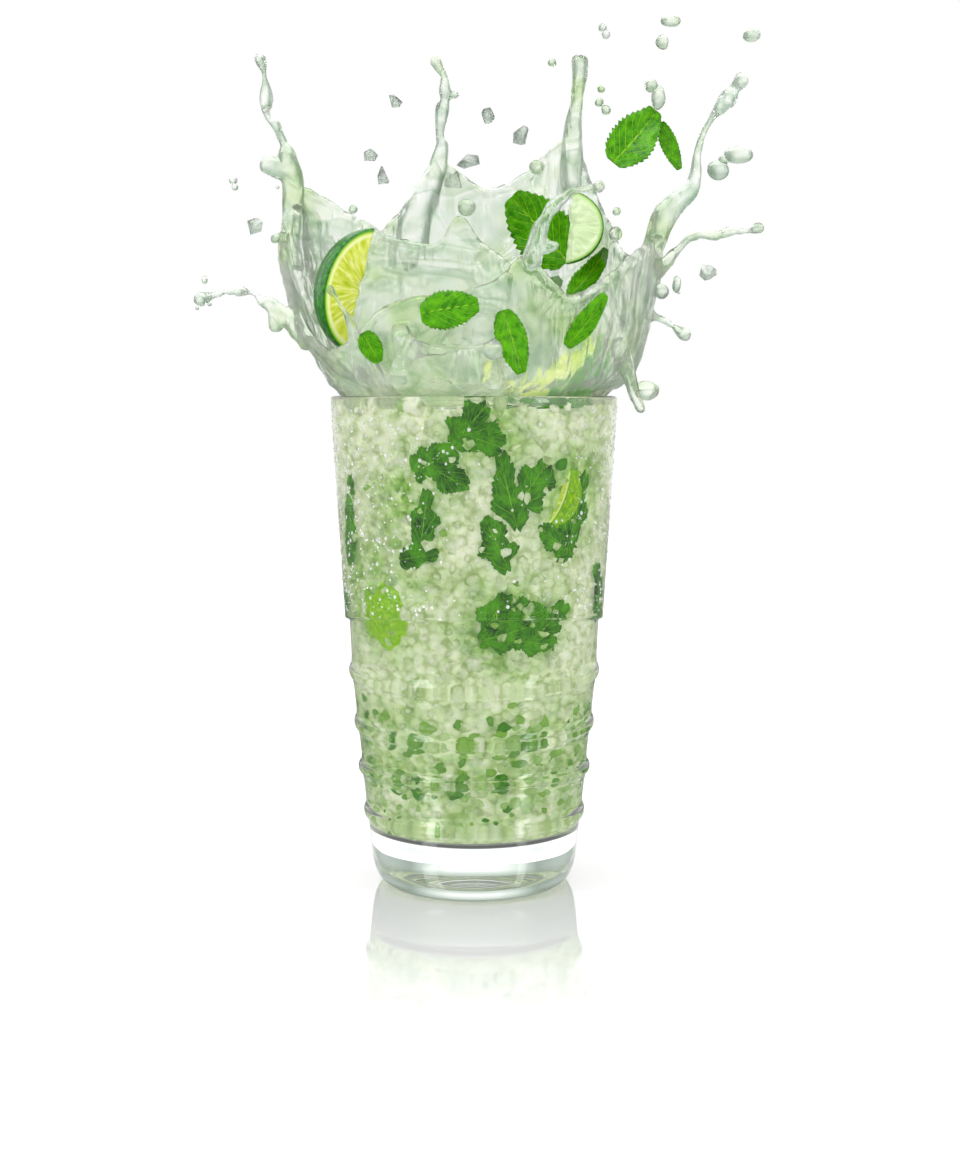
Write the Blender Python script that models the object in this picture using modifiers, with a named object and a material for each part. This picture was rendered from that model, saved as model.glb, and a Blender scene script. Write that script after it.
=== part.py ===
"""A mojito in a tall pressed glass, caught as the iced drink bursts out of the rim.

The glass stands on z = 0 with its axis on Z, and -Y is its front. The drink is one solid: the
turned body inside the glass, and the crown of splash above the rim with its sheets, jets and drops.
Lime wedges, mint leaves and chips of ice are solids of their own, and the drink is cut round them.
Sizes are in metres. Lists of points are in millimetres, with heights counted from the rim.
"""

import math

import bmesh
import bpy
import numpy as np
from mathutils import Matrix, Vector, noise

MM = 0.001

# The glass, as (radius, height) in millimetres
RIM_H = 148.0
FLOOR_H = 16.0
OUTER_PROFILE = [
    (41.4, 148.0), (42.5, 148.0), (43.0, 147.2),
    (39.1, 81.7), (38.7, 80.8), (37.8, 80.2), (37.2, 68.0),
    (37.6, 66.0), (37.4, 63.4), (36.6, 62.0), (35.7, 52.0),
    (36.1, 50.2), (36.0, 47.4), (34.9, 45.0), (34.3, 38.0),
    (34.9, 36.2), (34.8, 33.4), (33.8, 31.0), (33.0, 24.6),
    (33.3, 22.8), (33.2, 19.4), (32.1, 17.2), (31.8, 14.6),
    (31.3, 9.0), (30.6, 5.0), (29.4, 2.2), (27.2, 0.4), (26.0, 0.0),
]
INNER_PROFILE = [
    (20.0, 16.0), (25.5, 16.8), (28.1, 18.6), (29.2, 22.0), (35.2, 80.0), (40.9, 146.4), (41.0, 147.4),
]
# Each moulded ring leans: (height, how much higher its front is than its sides)
RING_TILT = [(0, 0), (21, 0), (34, 1.2), (47, -1.5), (65, -2.3), (81, 4.5), (112, 0), (150, 0)]
STEPS_ROUND = 40
# The room that the splash leaves round the rim, a ring with this cross-section
RIM_ROOM = [(41.3, 148.4), (46.0, 148.4), (46.0, 120.0), (38.35, 120.0), (40.6, 146.4), (40.7, 147.7)]

# The drink
GAP = 0.35
LEVEL = -6.0
COLLAR_TOP = 1.3
WALL_THICK = 2.3
# The crown's wall leaves the drink inside the rim and leans out over it: (height, radius)
WALL_ROOT = [(-3.0, 37.4), (0.8, 38.6), (3.4, 41.5)]
EDGE_BEAD = 1.7
VOXEL = 0.85
SPLASH_TRIANGLES = 4700

# The crown wall: (azimuth in degrees from +X, height of its edge, radius at its edge)
CROWN = [
    (0, 42, 54), (14, 40, 51), (26, 44, 50), (36, 56, 49), (45, 72, 48), (52, 80, 48), (58, 78, 48),
    (67, 71, 48), (76, 67, 48), (86, 65, 48), (94, 69, 48), (101, 74, 48), (110, 66, 49),
    (118, 58, 50), (128, 49, 50), (142, 46, 53), (155, 54, 54), (166, 58, 55.5), (174, 50, 57),
    (182, 41, 57), (192, 28, 54.5), (202, 17, 52), (214, 11, 49), (226, 15, 48), (238, 23, 48),
    (250, 26, 48), (266, 27, 47), (278, 30, 47), (288, 38, 47), (296, 31, 47), (304, 26, 47),
    (314, 29, 48), (326, 36, 51), (338, 43, 54), (350, 46, 56),
]
# How soon the wall reaches its edge's radius on the way up: (azimuth, power of the rise)
FULLNESS = [(0, 0.38), (20, 0.5), (45, 0.75), (300, 0.75), (325, 0.42)]
# The wave inside the crown, from the left wall to the middle: (x, y, height of its edge)
INNER_WAVE = [
    (-52, 12, 62), (-46, 13, 59), (-40, 13, 55), (-34, 12, 52), (-28, 11, 48), (-16, 10, 45),
    (-10, 10, 45.5), (-4.5, 10, 53), (0, 10, 47), (6, 8, 42), (12, 4, 37), (18, -4, 31), (24, -14, 24),
]
WAVE_ROOT = -8.0
WAVE_LEAN = 5.0
# The radius that the wave keeps inside of: (height, radius)
WAVE_ROOM = [(-8, 33), (1, 37), (4, 41), (20, 49), (40, 56), (60, 58)]

# Jets of the splash, each a run of (x, y, height, radius)
JETS = {
    "left_jet": [
        (-81, -6, 28.5, 2.2), (-77, -7, 29.5, 1.0), (-73, -8, 30.5, 0.9), (-68.5, -10, 30.5, 1.6),
        (-65, -11, 30, 0.9), (-62.5, -12, 28, 1.3), (-59.5, -13, 26.5, 2.1), (-54, -14, 22, 2.6),
        (-49, -14, 16, 2.8),
    ],
    "left_hanging_drop": [(-58.5, -13, 25, 1.8), (-58, -13, 20.5, 2.1)],
    "left_tall": [
        (-65, 14, 101.5, 1.9), (-63.5, 13, 96.5, 0.9), (-63, 12, 89.5, 2.0), (-62.5, 10, 84.5, 1.0),
        (-59.5, 9, 81, 1.7), (-57, 8, 75, 1.4), (-56, 7, 70.5, 3.1), (-54.5, 8, 63.5, 3.5),
        (-55, 10, 54, 3.2), (-56, 10, 40, 2.6),
    ],
    "left_side_bulge": [(-61.5, 7, 69, 2.9), (-56, 7, 67, 3.2)],
    "left_lip": [(-60, 4, 47, 1.4), (-57, 5, 48, 1.7), (-55.5, 7, 54, 2.0)],
    "back_tall": [
        (-12.5, 46, 106.5, 2.1), (-10, 45, 102, 1.1), (-9.5, 45, 97.5, 2.1), (-9.5, 45, 94, 1.5),
        (-10.5, 45, 91, 2.3), (-11, 45, 83.5, 1.5), (-10.5, 45, 79.5, 2.0), (-13, 45, 70.5, 3.6),
        (-18.5, 44, 58, 5.0), (-20.5, 43, 46, 5.2),
    ],
    "back_tall_nub": [(-6, 45, 96, 1.0), (-10, 45, 96, 1.4)],
    "back_right_tall": [
        (33.5, 40, 105.5, 2.6), (33.5, 40, 101, 2.5), (33, 39, 96.5, 2.3), (32.5, 38, 92, 2.2),
        (31.5, 37, 86, 2.8), (31, 36, 78, 3.6), (31, 36, 68, 3.8),
    ],
    "front_jet": [
        (34.5, -40, 57.5, 1.7), (30.5, -41, 56.5, 0.9), (27, -41, 56, 0.9), (23, -42, 52.5, 1.9),
        (20, -43, 49, 1.7), (18, -44, 44, 2.4), (16, -45, 37, 3.0),
    ],
    "front_side_drop": [(22, -43, 41, 1.8), (17.5, -44, 40, 2.0)],
    "right_tall": [
        (78.5, -4, 92, 2.4), (76.5, -5, 90, 1.6), (73.5, -6, 85.5, 2.7), (70, -7, 81.5, 1.1),
        (67.5, -8, 77.5, 1.2), (66, -9, 73, 1.2), (65, -9, 69, 1.3), (64.5, -10, 64.5, 1.8),
        (63, -11, 59.5, 2.7), (58.5, -12, 55.5, 3.5), (55, -12, 51, 3.8), (52.5, -11, 44, 3.4),
    ],
    "right_thin": [
        (82.5, -14, 48.5, 1.7), (79.5, -15, 47.5, 0.9), (74.5, -15, 47.5, 1.5), (70, -16, 46, 1.4),
        (66, -17, 46.5, 1.6), (62.5, -17, 45.5, 1.3), (60, -17, 43, 1.0), (57.5, -16, 40.5, 1.4),
        (53.5, -14, 36, 2.2),
    ],
    "right_side": [(62, -10, 18, 2.1), (59, -11, 20, 0.9), (56.5, -12, 21.5, 1.0), (50.5, -12, 24.5, 1.8)],
    "rim_tongue": [(48, -22, -3.5, 1.5), (46.5, -23, 0, 1.8), (44.5, -24, 6, 2.4), (41.5, -24, 14, 2.8)],
    "front_left_thin": [
        (-40, -36, 29.5, 1.4), (-38.5, -35, 28, 0.9), (-36.5, -35, 24, 1.1), (-34.5, -34, 20, 1.6),
        (-33, -34, 14, 2.1), (-31, -33, 6, 2.6),
    ],
    "front_middle_jet": [
        (5.5, -54, 12.5, 2.9), (1.5, -53, 13, 0.9), (-4, -53, 13, 1.0), (-8, -52, 12.5, 1.4),
        (-12, -51, 12.5, 1.7), (-18, -48, 13, 3.2), (-20, -45, 17, 3.0),
    ],
    "front_middle_drop": [(-20.5, -50, 5, 2.8), (-19, -47, 12, 2.6)],
    "rim_drop": [(5.5, -45.5, 4.5, 3.4), (5.5, -45, 9, 2.4)],
    "left_swell": [(-25, -15, -4, 8), (-32, -16, 5, 7), (-36, -15, 10, 5.5)],
    "middle_swell": [(8, 4, -4, 11), (2, 8, 6, 7), (-3, 10, 16, 4)],
}
# Threads of liquid that carry the flung pieces
THREADS = {
    "to_sprig": [(65, -9, 66, 0.95), (60.5, -7, 66.5, 0.9)],
    "to_chip_1": [(-10, 45, 93, 0.95), (-17, 42, 93.5, 0.85), (-22.5, 40, 93.5, 0.9)],
    "to_chip_2": [(-22.5, 38, 69.5, 0.95), (-28, 36.5, 73.5, 0.85), (-32, 36, 75.5, 0.9)],
    "to_chip_3": [(-15, 44, 67, 1.1), (-22, 39, 69.5, 0.9), (-27.5, 35, 69.5, 0.9)],
    "to_chip_4": [(-60, 4, 47.5, 1.0), (-63.5, 1, 49.7, 0.9)],
    "to_chip_5": [(-5, 47, 64, 1.4), (-5.5, 43, 67, 1.1)],
    "to_chip_6": [(-1, 47, 65, 1.2), (-0.5, 45.5, 69, 0.9), (-1.5, 43.5, 73, 0.9)],
    "to_chip_7": [(4, 47, 64, 1.1), (3.4, 44, 76, 0.85), (4, 40.5, 88, 0.9)],
    "to_chip_8": [(17, 46, 70, 1.1), (15.3, 38.5, 80, 0.9)],
    "to_chip_9": [(62.5, -17, 45, 1.1), (65.5, -15, 41, 0.85), (67.7, -14, 37.2, 0.9)],
}

# Chips of ice: (x, y, height, radius)
ICE_CHIPS = [
    (-24, 40, 93.5, 3.0), (-33, 36, 76, 3.0), (-29, 34, 69.5, 3.0), (-65, 0, 50.5, 2.9),
    (-6.5, 42, 68.5, 3.9), (-2, 43, 75, 3.2), (4, 40, 89, 2.6), (15, 38, 81.5, 3.3), (68, -14, 36, 2.9),
]
ICE_POINTS = 18
ICE_SEED = 7

# Lime pieces: centre, long axis, the way its rind faces, half length, radius, sector in degrees
LIMES = {
    "lime_wedge_left": ((-30.5, -14, 30), (0.25, 0, 0.97), (-0.985, -0.17, 0), 18.6, 16.0, 62),
    "lime_wedge_front": ((20.6, -15, 9.3), (0.81, 0, 0.59), (0.50, -0.53, -0.69), 19.5, 15.0, 62),
    "lime_wedge_back": ((27.5, 19, 52), (0.1, 0.1, 0.99), (0.9, 0.43, -0.1), 11.5, 12.5, 70),
}
LIME_CORE = 3.0

# Mint leaves: centre, the way the tip points, the way the upper face looks, length, width, curl
LEAVES = {
    "mint_leaf_back": ((22, 39, 53), (-0.6, 0.1, 0.7), (-0.45, -0.85, 0.1), 27, 19, 0.20),
    "mint_leaf_right": ((38.5, 28, 38), (0.62, 0.1, 0.78), (-0.6, -0.75, 0.1), 19, 8, 0.25),
    "mint_leaf_right_low": ((26, 40, 34), (0.7, 0, 0.6), (-0.4, -0.9, 0.1), 10, 7, 0.25),
    "mint_leaf_middle": ((-6.5, -48.0, 23.3), (0.96, 0, 0.16), (0.05, -0.98, 0.25), 16, 10.5, -0.10),
    "mint_leaf_centre": ((10.8, -46.0, 14.6), (0.3, 0, -0.95), (0.25, -0.95, 0.15), 17.5, 8.5, -0.15),
    "mint_leaf_small": ((-27.5, -39.2, 13.5), (0.5, 0, -0.86), (-0.5, -0.85, 0.1), 9, 6.8, -0.10),
    "mint_leaf_front_right": ((30.8, -36.6, 21), (0.6, 0.1, 0.78), (0.6, -0.78, 0), 18, 6.5, -0.2),
    "mint_sprig_leaf": ((47.5, -6, 75.5), (0.62, -0.1, 0.75), (-0.25, -0.93, 0.3), 19, 14, 0.30),
    "mint_sprig_narrow_leaf": ((57.5, -6, 73), (0.38, -0.1, -0.92), (-0.1, -0.97, 0.2), 14.5, 4.8, 0.3),
}
LEAF_THICK = 0.7
LEAF_CELLS = (5, 7)
LEAF_WAVE = 0.5


def clear_scene():
    for obj in list(bpy.data.objects):
        bpy.data.objects.remove(obj, do_unlink=True)


def new_collection(name):
    collection = bpy.data.collections.new(name)
    bpy.context.scene.collection.children.link(collection)
    return collection


def material(name, rgb, roughness, transmission=0.0):
    made = bpy.data.materials.new(name)
    made.use_nodes = True
    shader = made.node_tree.nodes["Principled BSDF"]
    shader.inputs["Base Color"].default_value = (*rgb, 1.0)
    shader.inputs["Roughness"].default_value = roughness
    shader.inputs["Metallic"].default_value = 0.0
    shader.inputs["Transmission Weight"].default_value = transmission
    made.diffuse_color = (*rgb, 1.0)
    return made


def add_object(name, mesh, collection, finish=None):
    obj = bpy.data.objects.new(name, mesh)
    collection.objects.link(obj)
    if finish:
        mesh.materials.append(finish)
    return obj


def add_cutter(name, mesh, collection):
    obj = add_object(name, mesh, collection)
    obj.hide_render = True
    obj.display_type = "WIRE"
    return obj


def mesh_from(bm, name):
    mesh = bpy.data.meshes.new(name)
    bm.to_mesh(mesh)
    bm.free()
    return mesh


def as_mesh(obj):
    """The object's mesh after its modifiers; the object itself is removed."""
    bpy.context.view_layer.update()
    graph = bpy.context.evaluated_depsgraph_get()
    mesh = bpy.data.meshes.new_from_object(obj.evaluated_get(graph))
    bpy.data.objects.remove(obj, do_unlink=True)
    return mesh


def above_rim(x, y, height):
    """A place in metres, from millimetres with the height counted from the rim."""
    return Vector((x, y, RIM_H + height)) * MM


def turned(name, profile, collection, ring=False):
    """A solid of revolution from (radius, height) points that run down its outer side."""
    bm = bmesh.new()
    points = [bm.verts.new((radius * MM, 0, height * MM)) for radius, height in profile]
    for above, below in zip(points, points[1:]):
        bm.edges.new((above, below))
    if ring:
        bm.edges.new((points[-1], points[0]))
    obj = add_object(name, mesh_from(bm, name), collection)
    screw = obj.modifiers.new("Turn", "SCREW")
    screw.steps = screw.render_steps = STEPS_ROUND
    screw.use_merge_vertices = True
    screw.merge_threshold = 0.00005
    return as_mesh(obj)


def lean_rings(mesh):
    """Tips each moulded ring of the outer wall forwards or back, so that none lies quite level."""
    heights = [height * MM for height, _ in RING_TILT]
    tilts = [tilt * MM for _, tilt in RING_TILT]
    for vertex in mesh.vertices:
        radius = math.hypot(vertex.co.x, vertex.co.y)
        inner = np.interp(vertex.co.z, [h * MM for _, h in INNER_PROFILE], [r * MM for r, _ in INNER_PROFILE])
        if radius > inner + 0.5 * MM:
            vertex.co.z -= np.interp(vertex.co.z, heights, tilts) * vertex.co.y / radius


def build_glass(parts):
    inner = [(0.0, FLOOR_H)] + INNER_PROFILE
    mesh = turned("glass", inner + OUTER_PROFILE + [(0.0, 0.0)], parts)
    lean_rings(mesh)
    mesh.shade_smooth()
    return add_object("glass", mesh, parts, material("clear_glass", (0.90, 0.95, 0.92), 0.05, 0.9))


def drink_body(parts):
    """The drink in the glass, a turned solid that stays a gap inside the wall."""
    dished_top = [(0.0, LEVEL), (18.0, LEVEL + 0.8), (30.0, LEVEL + 4.5), (36.0, COLLAR_TOP)]
    top = [(radius, RIM_H + height) for radius, height in dished_top]
    collar = [(39.4, RIM_H + COLLAR_TOP), (40.4, RIM_H - 0.6)]
    wall = [(radius - GAP, height) for radius, height in reversed(INNER_PROFILE[2:-1])]
    floor = [(radius - GAP, height + GAP) for radius, height in reversed(INNER_PROFILE[:2])]
    return turned("drink_body", top + collar + wall + floor + [(0.0, FLOOR_H + GAP)], parts)


def crown_edge():
    """Height and radius of the crown's edge for each degree round the glass, smoothed."""
    degrees = np.arange(360)
    azimuths = [azimuth for azimuth, _, _ in CROWN]
    soft = np.hanning(9) / np.hanning(9).sum()
    edges = []
    for column in (1, 2):
        values = np.interp(degrees, azimuths, [row[column] for row in CROWN], period=360)
        wrapped = np.concatenate([values[-4:], values, values[:4]])
        edges.append(np.convolve(wrapped, soft, "valid"))
    return edges


def wall_point(share_round, share_up, edges):
    """A point on the middle of the crown's wall: it springs from the collar and flares over the rim."""
    degree = 360 * share_round
    angle = math.radians(degree)
    top = np.interp(degree, np.arange(360), edges[0], period=360)
    edge_radius = np.interp(degree, np.arange(360), edges[1], period=360)
    height = WALL_ROOT[0][0] + (top - WALL_ROOT[0][0]) * share_up
    lip, lip_radius = WALL_ROOT[-1]
    flare = max(0.0, (height - lip) / (top - lip))
    radius = np.interp(height, [row[0] for row in WALL_ROOT], [row[1] for row in WALL_ROOT])
    fullness = np.interp(degree, [row[0] for row in FULLNESS], [row[1] for row in FULLNESS], period=360)
    radius += (edge_radius - lip_radius) * flare ** fullness
    ripple = 0.7 * min(1.0, flare * 3) * noise.noise(Vector((3 * math.cos(angle), 3 * math.sin(angle), height / 14)))
    radius += ripple
    return above_rim(radius * math.cos(angle), radius * math.sin(angle), height)


def sheet(name, place, cells, closed, parts):
    """A sheet of liquid: a grid bent by place(u, v), then given its thickness."""
    bm = bmesh.new()
    bmesh.ops.create_grid(bm, x_segments=cells[0], y_segments=cells[1], size=0.5)
    for vertex in bm.verts:
        vertex.co = place(vertex.co.x + 0.5, vertex.co.y + 0.5)
    if closed:
        bmesh.ops.remove_doubles(bm, verts=bm.verts, dist=0.01 * MM)
    obj = add_object(name, mesh_from(bm, name), parts)
    solid = obj.modifiers.new("Thickness", "SOLIDIFY")
    solid.thickness = WALL_THICK * MM
    solid.offset = 0
    return as_mesh(obj)


def wave_point(share_along, share_up):
    rows = np.array(INNER_WAVE, float)
    place = share_along * (len(rows) - 1)
    x, y, top = (np.interp(place, np.arange(len(rows)), rows[:, column]) for column in range(3))
    height = WAVE_ROOT + (top - WAVE_ROOT) * share_up
    y -= WAVE_LEAN * (1 - share_up)
    room = np.interp(height, [row[0] for row in WAVE_ROOM], [row[1] for row in WAVE_ROOM])
    inward = min(1.0, room / math.hypot(x, y))
    return above_rim(x * inward, y * inward, height)


def smooth_run(points, closed=False):
    """Points along a soft curve through a run of (x, y, height, radius)."""
    rows = np.array(points, float)
    ends = (rows[-1:], rows[:1]) if closed else (2 * rows[:1] - rows[1:2], 2 * rows[-1:] - rows[-2:-1])
    padded = np.concatenate([ends[0], rows, ends[1]] + ([rows[1:2]] if closed else []))
    found = []
    for index in range(1, len(padded) - 2):
        before, start, end, after = padded[index - 1 : index + 3]
        for share in (0.0, 0.33, 0.67):
            found.append(
                0.5 * (2 * start + (end - before) * share
                       + (2 * before - 5 * start + 4 * end - after) * share ** 2
                       + (3 * start - before - 3 * end + after) * share ** 3)
            )
    if not closed:
        found.append(rows[-1])
    return found


def tube(name, points, parts, closed=False):
    """A tapering tube of liquid along a run of points, a curve with a bevel."""
    curve = bpy.data.curves.new(name, "CURVE")
    curve.dimensions = "3D"
    curve.bevel_depth = MM
    curve.bevel_resolution = 2
    curve.use_fill_caps = True
    run = smooth_run(points, closed)
    spline = curve.splines.new("POLY")
    spline.points.add(len(run) - 1)
    spline.use_cyclic_u = closed
    for point, (x, y, height, radius) in zip(spline.points, run):
        point.co = (*above_rim(x, y, height), 1)
        point.radius = max(radius, 0.5)
    return as_mesh(add_object(name, curve, parts))


def add_ball(bm, x, y, height, radius):
    place = Matrix.Translation(above_rim(x, y, height))
    bmesh.ops.create_icosphere(bm, subdivisions=2, radius=radius * MM, matrix=place)


def splash_mesh(parts):
    """All sheets, jets and drops of the splash, fused into one skin and thinned."""
    edges = crown_edge()
    shapes = [
        sheet("crown_wall", lambda u, v: wall_point(u, v, edges), (120, 14), True, parts),
        sheet("inner_wave", wave_point, (40, 12), False, parts),
        tube("wave_bead", [(x, y, top, EDGE_BEAD) for x, y, top in INNER_WAVE], parts),
    ]
    ring = []
    for degree in range(0, 360, 6):
        angle = math.radians(degree)
        radius = edges[1][degree]
        ring.append((radius * math.cos(angle), radius * math.sin(angle), edges[0][degree], EDGE_BEAD))
    shapes.append(tube("crown_bead", ring, parts, closed=True))
    bm = bmesh.new()
    for name, points in {**JETS, **THREADS}.items():
        shapes.append(tube(name, points, parts))
        for end in (points[0], points[-1]):
            add_ball(bm, *end)
    for shape in shapes:
        bm.from_mesh(shape)
    bmesh.ops.remove_doubles(bm, verts=bm.verts, dist=0.001 * MM)
    obj = add_object("splash", mesh_from(bm, "splash"), parts)
    remesh = obj.modifiers.new("Fuse", "REMESH")
    remesh.mode = "VOXEL"
    remesh.voxel_size = VOXEL * MM
    smooth = obj.modifiers.new("Settle", "SMOOTH")
    smooth.factor = 0.5
    smooth.iterations = 2
    fine = as_mesh(obj)
    thinned = add_object("splash", fine, parts)
    thin = thinned.modifiers.new("Thin", "DECIMATE")
    thin.ratio = SPLASH_TRIANGLES / (2 * len(fine.polygons))
    thin.use_collapse_triangulate = True
    return as_mesh(thinned)


def lime_wedge(name, spec, grow=0.0):
    """A sector of a lime: a stretched ball cut by two planes through its core, and flat along the core."""
    centre, axis, faces, half_length, radius, sector = spec
    bm = bmesh.new()
    bmesh.ops.create_uvsphere(bm, u_segments=24, v_segments=12, radius=1.0)
    along = Vector(axis).normalized()
    outward = (Vector(faces) - Vector(faces).dot(along) * along).normalized()
    across = along.cross(outward)
    size = Matrix.Diagonal(((radius + grow) * MM, (radius + grow) * MM, (half_length + grow) * MM, 1))
    bmesh.ops.transform(bm, matrix=size, verts=bm.verts)
    half = math.radians(sector / 2)
    cuts = [
        (Vector((math.sin(half), math.cos(half), 0)), -grow * MM),
        (Vector((math.sin(half), -math.cos(half), 0)), -grow * MM),
        (Vector((1, 0, 0)), (LIME_CORE - grow) * MM),
    ]
    for normal, distance in cuts:
        loose = bmesh.ops.bisect_plane(
            bm, geom=bm.verts[:] + bm.edges[:] + bm.faces[:],
            plane_co=normal * distance, plane_no=normal, clear_inner=True,
        )
        rim = [item for item in loose["geom_cut"] if isinstance(item, bmesh.types.BMEdge)]
        bmesh.ops.edgeloop_fill(bm, edges=rim)
    turn = Matrix((outward, across, along)).transposed().to_4x4()
    place = Matrix.Translation(above_rim(*centre))
    bmesh.ops.transform(bm, matrix=place @ turn, verts=bm.verts)
    bmesh.ops.recalc_face_normals(bm, faces=bm.faces)
    return mesh_from(bm, name)


def mint_leaf(name, spec, parts, grow=0.0):
    """A leaf: a grid narrowed to a pointed oval, bent along its length and waved at its edge."""
    centre, tip, upper, length, width, curl = spec
    along = Vector(tip).normalized()
    normal = (Vector(upper) - Vector(upper).dot(along) * along).normalized()
    across = normal.cross(along)
    bm = bmesh.new()
    bmesh.ops.create_grid(bm, x_segments=LEAF_CELLS[0], y_segments=LEAF_CELLS[1], size=0.5)
    for vertex in bm.verts:
        share = vertex.co.y + 0.5
        spread = 0.16 + 0.84 * math.sin(math.pi * min(1.0, 0.06 + 0.9 * share ** 0.85)) ** 0.8
        side = vertex.co.x * spread * (width + 2 * grow)
        reach = vertex.co.y * (length + 2 * grow)
        edge = abs(2 * vertex.co.x)
        lift = curl * (side ** 2 / width + reach ** 2 / length)
        lift += LEAF_WAVE * edge * math.sin(9 * share + 2 * vertex.co.x)
        vertex.co = (along * reach + across * side + normal * lift) * MM + above_rim(*centre)
    bmesh.ops.triangulate(bm, faces=bm.faces)
    obj = add_object(name, mesh_from(bm, name), parts)
    solid = obj.modifiers.new("Blade", "SOLIDIFY")
    solid.thickness = (LEAF_THICK + 2 * grow) * MM
    solid.offset = 0
    return as_mesh(obj)


def ice_chip(name, index, grow=0.0):
    """A crushed piece of ice: the hull of a few random points near a ball."""
    x, y, height, radius = ICE_CHIPS[index]
    rng = np.random.default_rng(ICE_SEED + index)
    directions = rng.normal(size=(ICE_POINTS, 3))
    directions /= np.linalg.norm(directions, axis=1)[:, None]
    directions *= rng.uniform(0.85, 1.15, size=(ICE_POINTS, 1)) * np.array([1.0, 0.85, 0.9])
    bm = bmesh.new()
    for direction in directions:
        bm.verts.new(Vector(direction) * (radius + grow) * MM + above_rim(x, y, height))
    hull = bmesh.ops.convex_hull(bm, input=bm.verts)
    inside = [item for item in hull["geom_interior"] if isinstance(item, bmesh.types.BMVert)]
    bmesh.ops.delete(bm, geom=inside, context="VERTS")
    bmesh.ops.recalc_face_normals(bm, faces=bm.faces)
    return mesh_from(bm, name)


def build_garnish(parts, cutters):
    """The lime, mint and ice, each with a slightly larger cutter that makes its place in the drink."""
    rind = material("lime", (0.35, 0.62, 0.08), 0.35)
    leaf = material("mint", (0.10, 0.42, 0.02), 0.45)
    ice = material("ice", (0.85, 0.92, 0.90), 0.10, 0.8)
    for name, spec in LIMES.items():
        add_object(name, lime_wedge(name, spec), parts, rind)
        add_cutter("cut_" + name, lime_wedge("cut_" + name, spec, GAP), cutters)
    for name, spec in LEAVES.items():
        add_object(name, mint_leaf(name, spec, parts), parts, leaf)
        add_cutter("cut_" + name, mint_leaf("cut_" + name, spec, parts, GAP), cutters)
    for index in range(len(ICE_CHIPS)):
        name = f"ice_chip_{index + 1}"
        add_object(name, ice_chip(name, index), parts, ice)
        add_cutter("cut_" + name, ice_chip("cut_" + name, index, GAP + 0.15), cutters)


def largest_piece(mesh):
    """Keeps the one big body and drops the scraps that cutting leaves."""
    bm = bmesh.new()
    bm.from_mesh(mesh)
    bm.verts.ensure_lookup_table()
    left = set(bm.verts)
    pieces = []
    while left:
        stack = [left.pop()]
        piece = set(stack)
        while stack:
            for edge in stack.pop().link_edges:
                for vertex in edge.verts:
                    if vertex in left:
                        left.remove(vertex)
                        piece.add(vertex)
                        stack.append(vertex)
        pieces.append(piece)
    keep = max(pieces, key=len)
    scraps = [vertex for piece in pieces if piece is not keep for vertex in piece]
    bmesh.ops.delete(bm, geom=scraps, context="VERTS")
    bm.to_mesh(mesh)
    bm.free()


def build_drink(parts, cutters):
    body = add_object("drink_base", drink_body(parts), parts)
    splash = add_object("splash", splash_mesh(parts), parts)
    room = add_cutter("rim_room", turned("rim_room", RIM_ROOM, cutters, ring=True), cutters)
    trim = splash.modifiers.new("Rim", "BOOLEAN")
    trim.operation = "DIFFERENCE"
    trim.object = room
    join = body.modifiers.new("Splash", "BOOLEAN")
    join.operation = "UNION"
    join.object = splash
    whole = as_mesh(body)
    bpy.data.objects.remove(splash, do_unlink=True)
    bpy.data.objects.remove(room, do_unlink=True)
    drink = add_object("drink", whole, parts)
    cut = drink.modifiers.new("Garnish", "BOOLEAN")
    cut.operation = "DIFFERENCE"
    cut.operand_type = "COLLECTION"
    cut.collection = cutters
    mesh = as_mesh(drink)
    largest_piece(mesh)
    mesh.materials.clear()
    add_object("drink", mesh, parts, material("iced_lime_drink", (0.80, 0.88, 0.76), 0.12, 0.6))


def main():
    clear_scene()
    parts = new_collection("mojito")
    cutters = new_collection("cutters")
    build_glass(parts)
    build_garnish(parts, cutters)
    build_drink(parts, cutters)


main()
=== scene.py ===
# %% [markdown]
# # A mojito leaping out of its glass
# A tall pressed glass holds crushed ice, lime, mint and a pale green drink. The drink bursts
# out of the rim in a crown of sheets and jets, and throws up lime, leaves and chips of ice.
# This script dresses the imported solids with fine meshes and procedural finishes.

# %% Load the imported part
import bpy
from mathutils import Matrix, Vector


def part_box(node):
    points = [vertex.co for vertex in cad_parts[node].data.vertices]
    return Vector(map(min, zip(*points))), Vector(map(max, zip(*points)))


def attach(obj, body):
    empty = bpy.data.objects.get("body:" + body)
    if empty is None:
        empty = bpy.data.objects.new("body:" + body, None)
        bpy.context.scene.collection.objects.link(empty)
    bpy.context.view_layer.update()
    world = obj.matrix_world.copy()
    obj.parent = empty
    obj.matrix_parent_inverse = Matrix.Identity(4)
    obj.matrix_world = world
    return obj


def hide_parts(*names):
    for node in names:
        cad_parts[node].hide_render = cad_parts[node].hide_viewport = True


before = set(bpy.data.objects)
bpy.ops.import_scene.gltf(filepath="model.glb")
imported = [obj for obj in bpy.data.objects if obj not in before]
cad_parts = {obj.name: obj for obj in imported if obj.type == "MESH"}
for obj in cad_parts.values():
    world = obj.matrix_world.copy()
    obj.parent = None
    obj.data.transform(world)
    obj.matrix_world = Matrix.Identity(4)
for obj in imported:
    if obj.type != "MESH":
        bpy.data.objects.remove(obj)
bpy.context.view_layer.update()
print("nodes:", len(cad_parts))

# %% [markdown]
# Lengths are written in millimetres, because a glass and its garnish are easiest to judge that
# way. Heights of the splash are counted from the rim, and one function turns them to metres.

# %% Units and places
import math

import bmesh
import bpy
import numpy as np
from mathutils import Matrix, Vector, noise

MM = 0.001
RIM_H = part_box("glass")[1].z / MM


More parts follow.
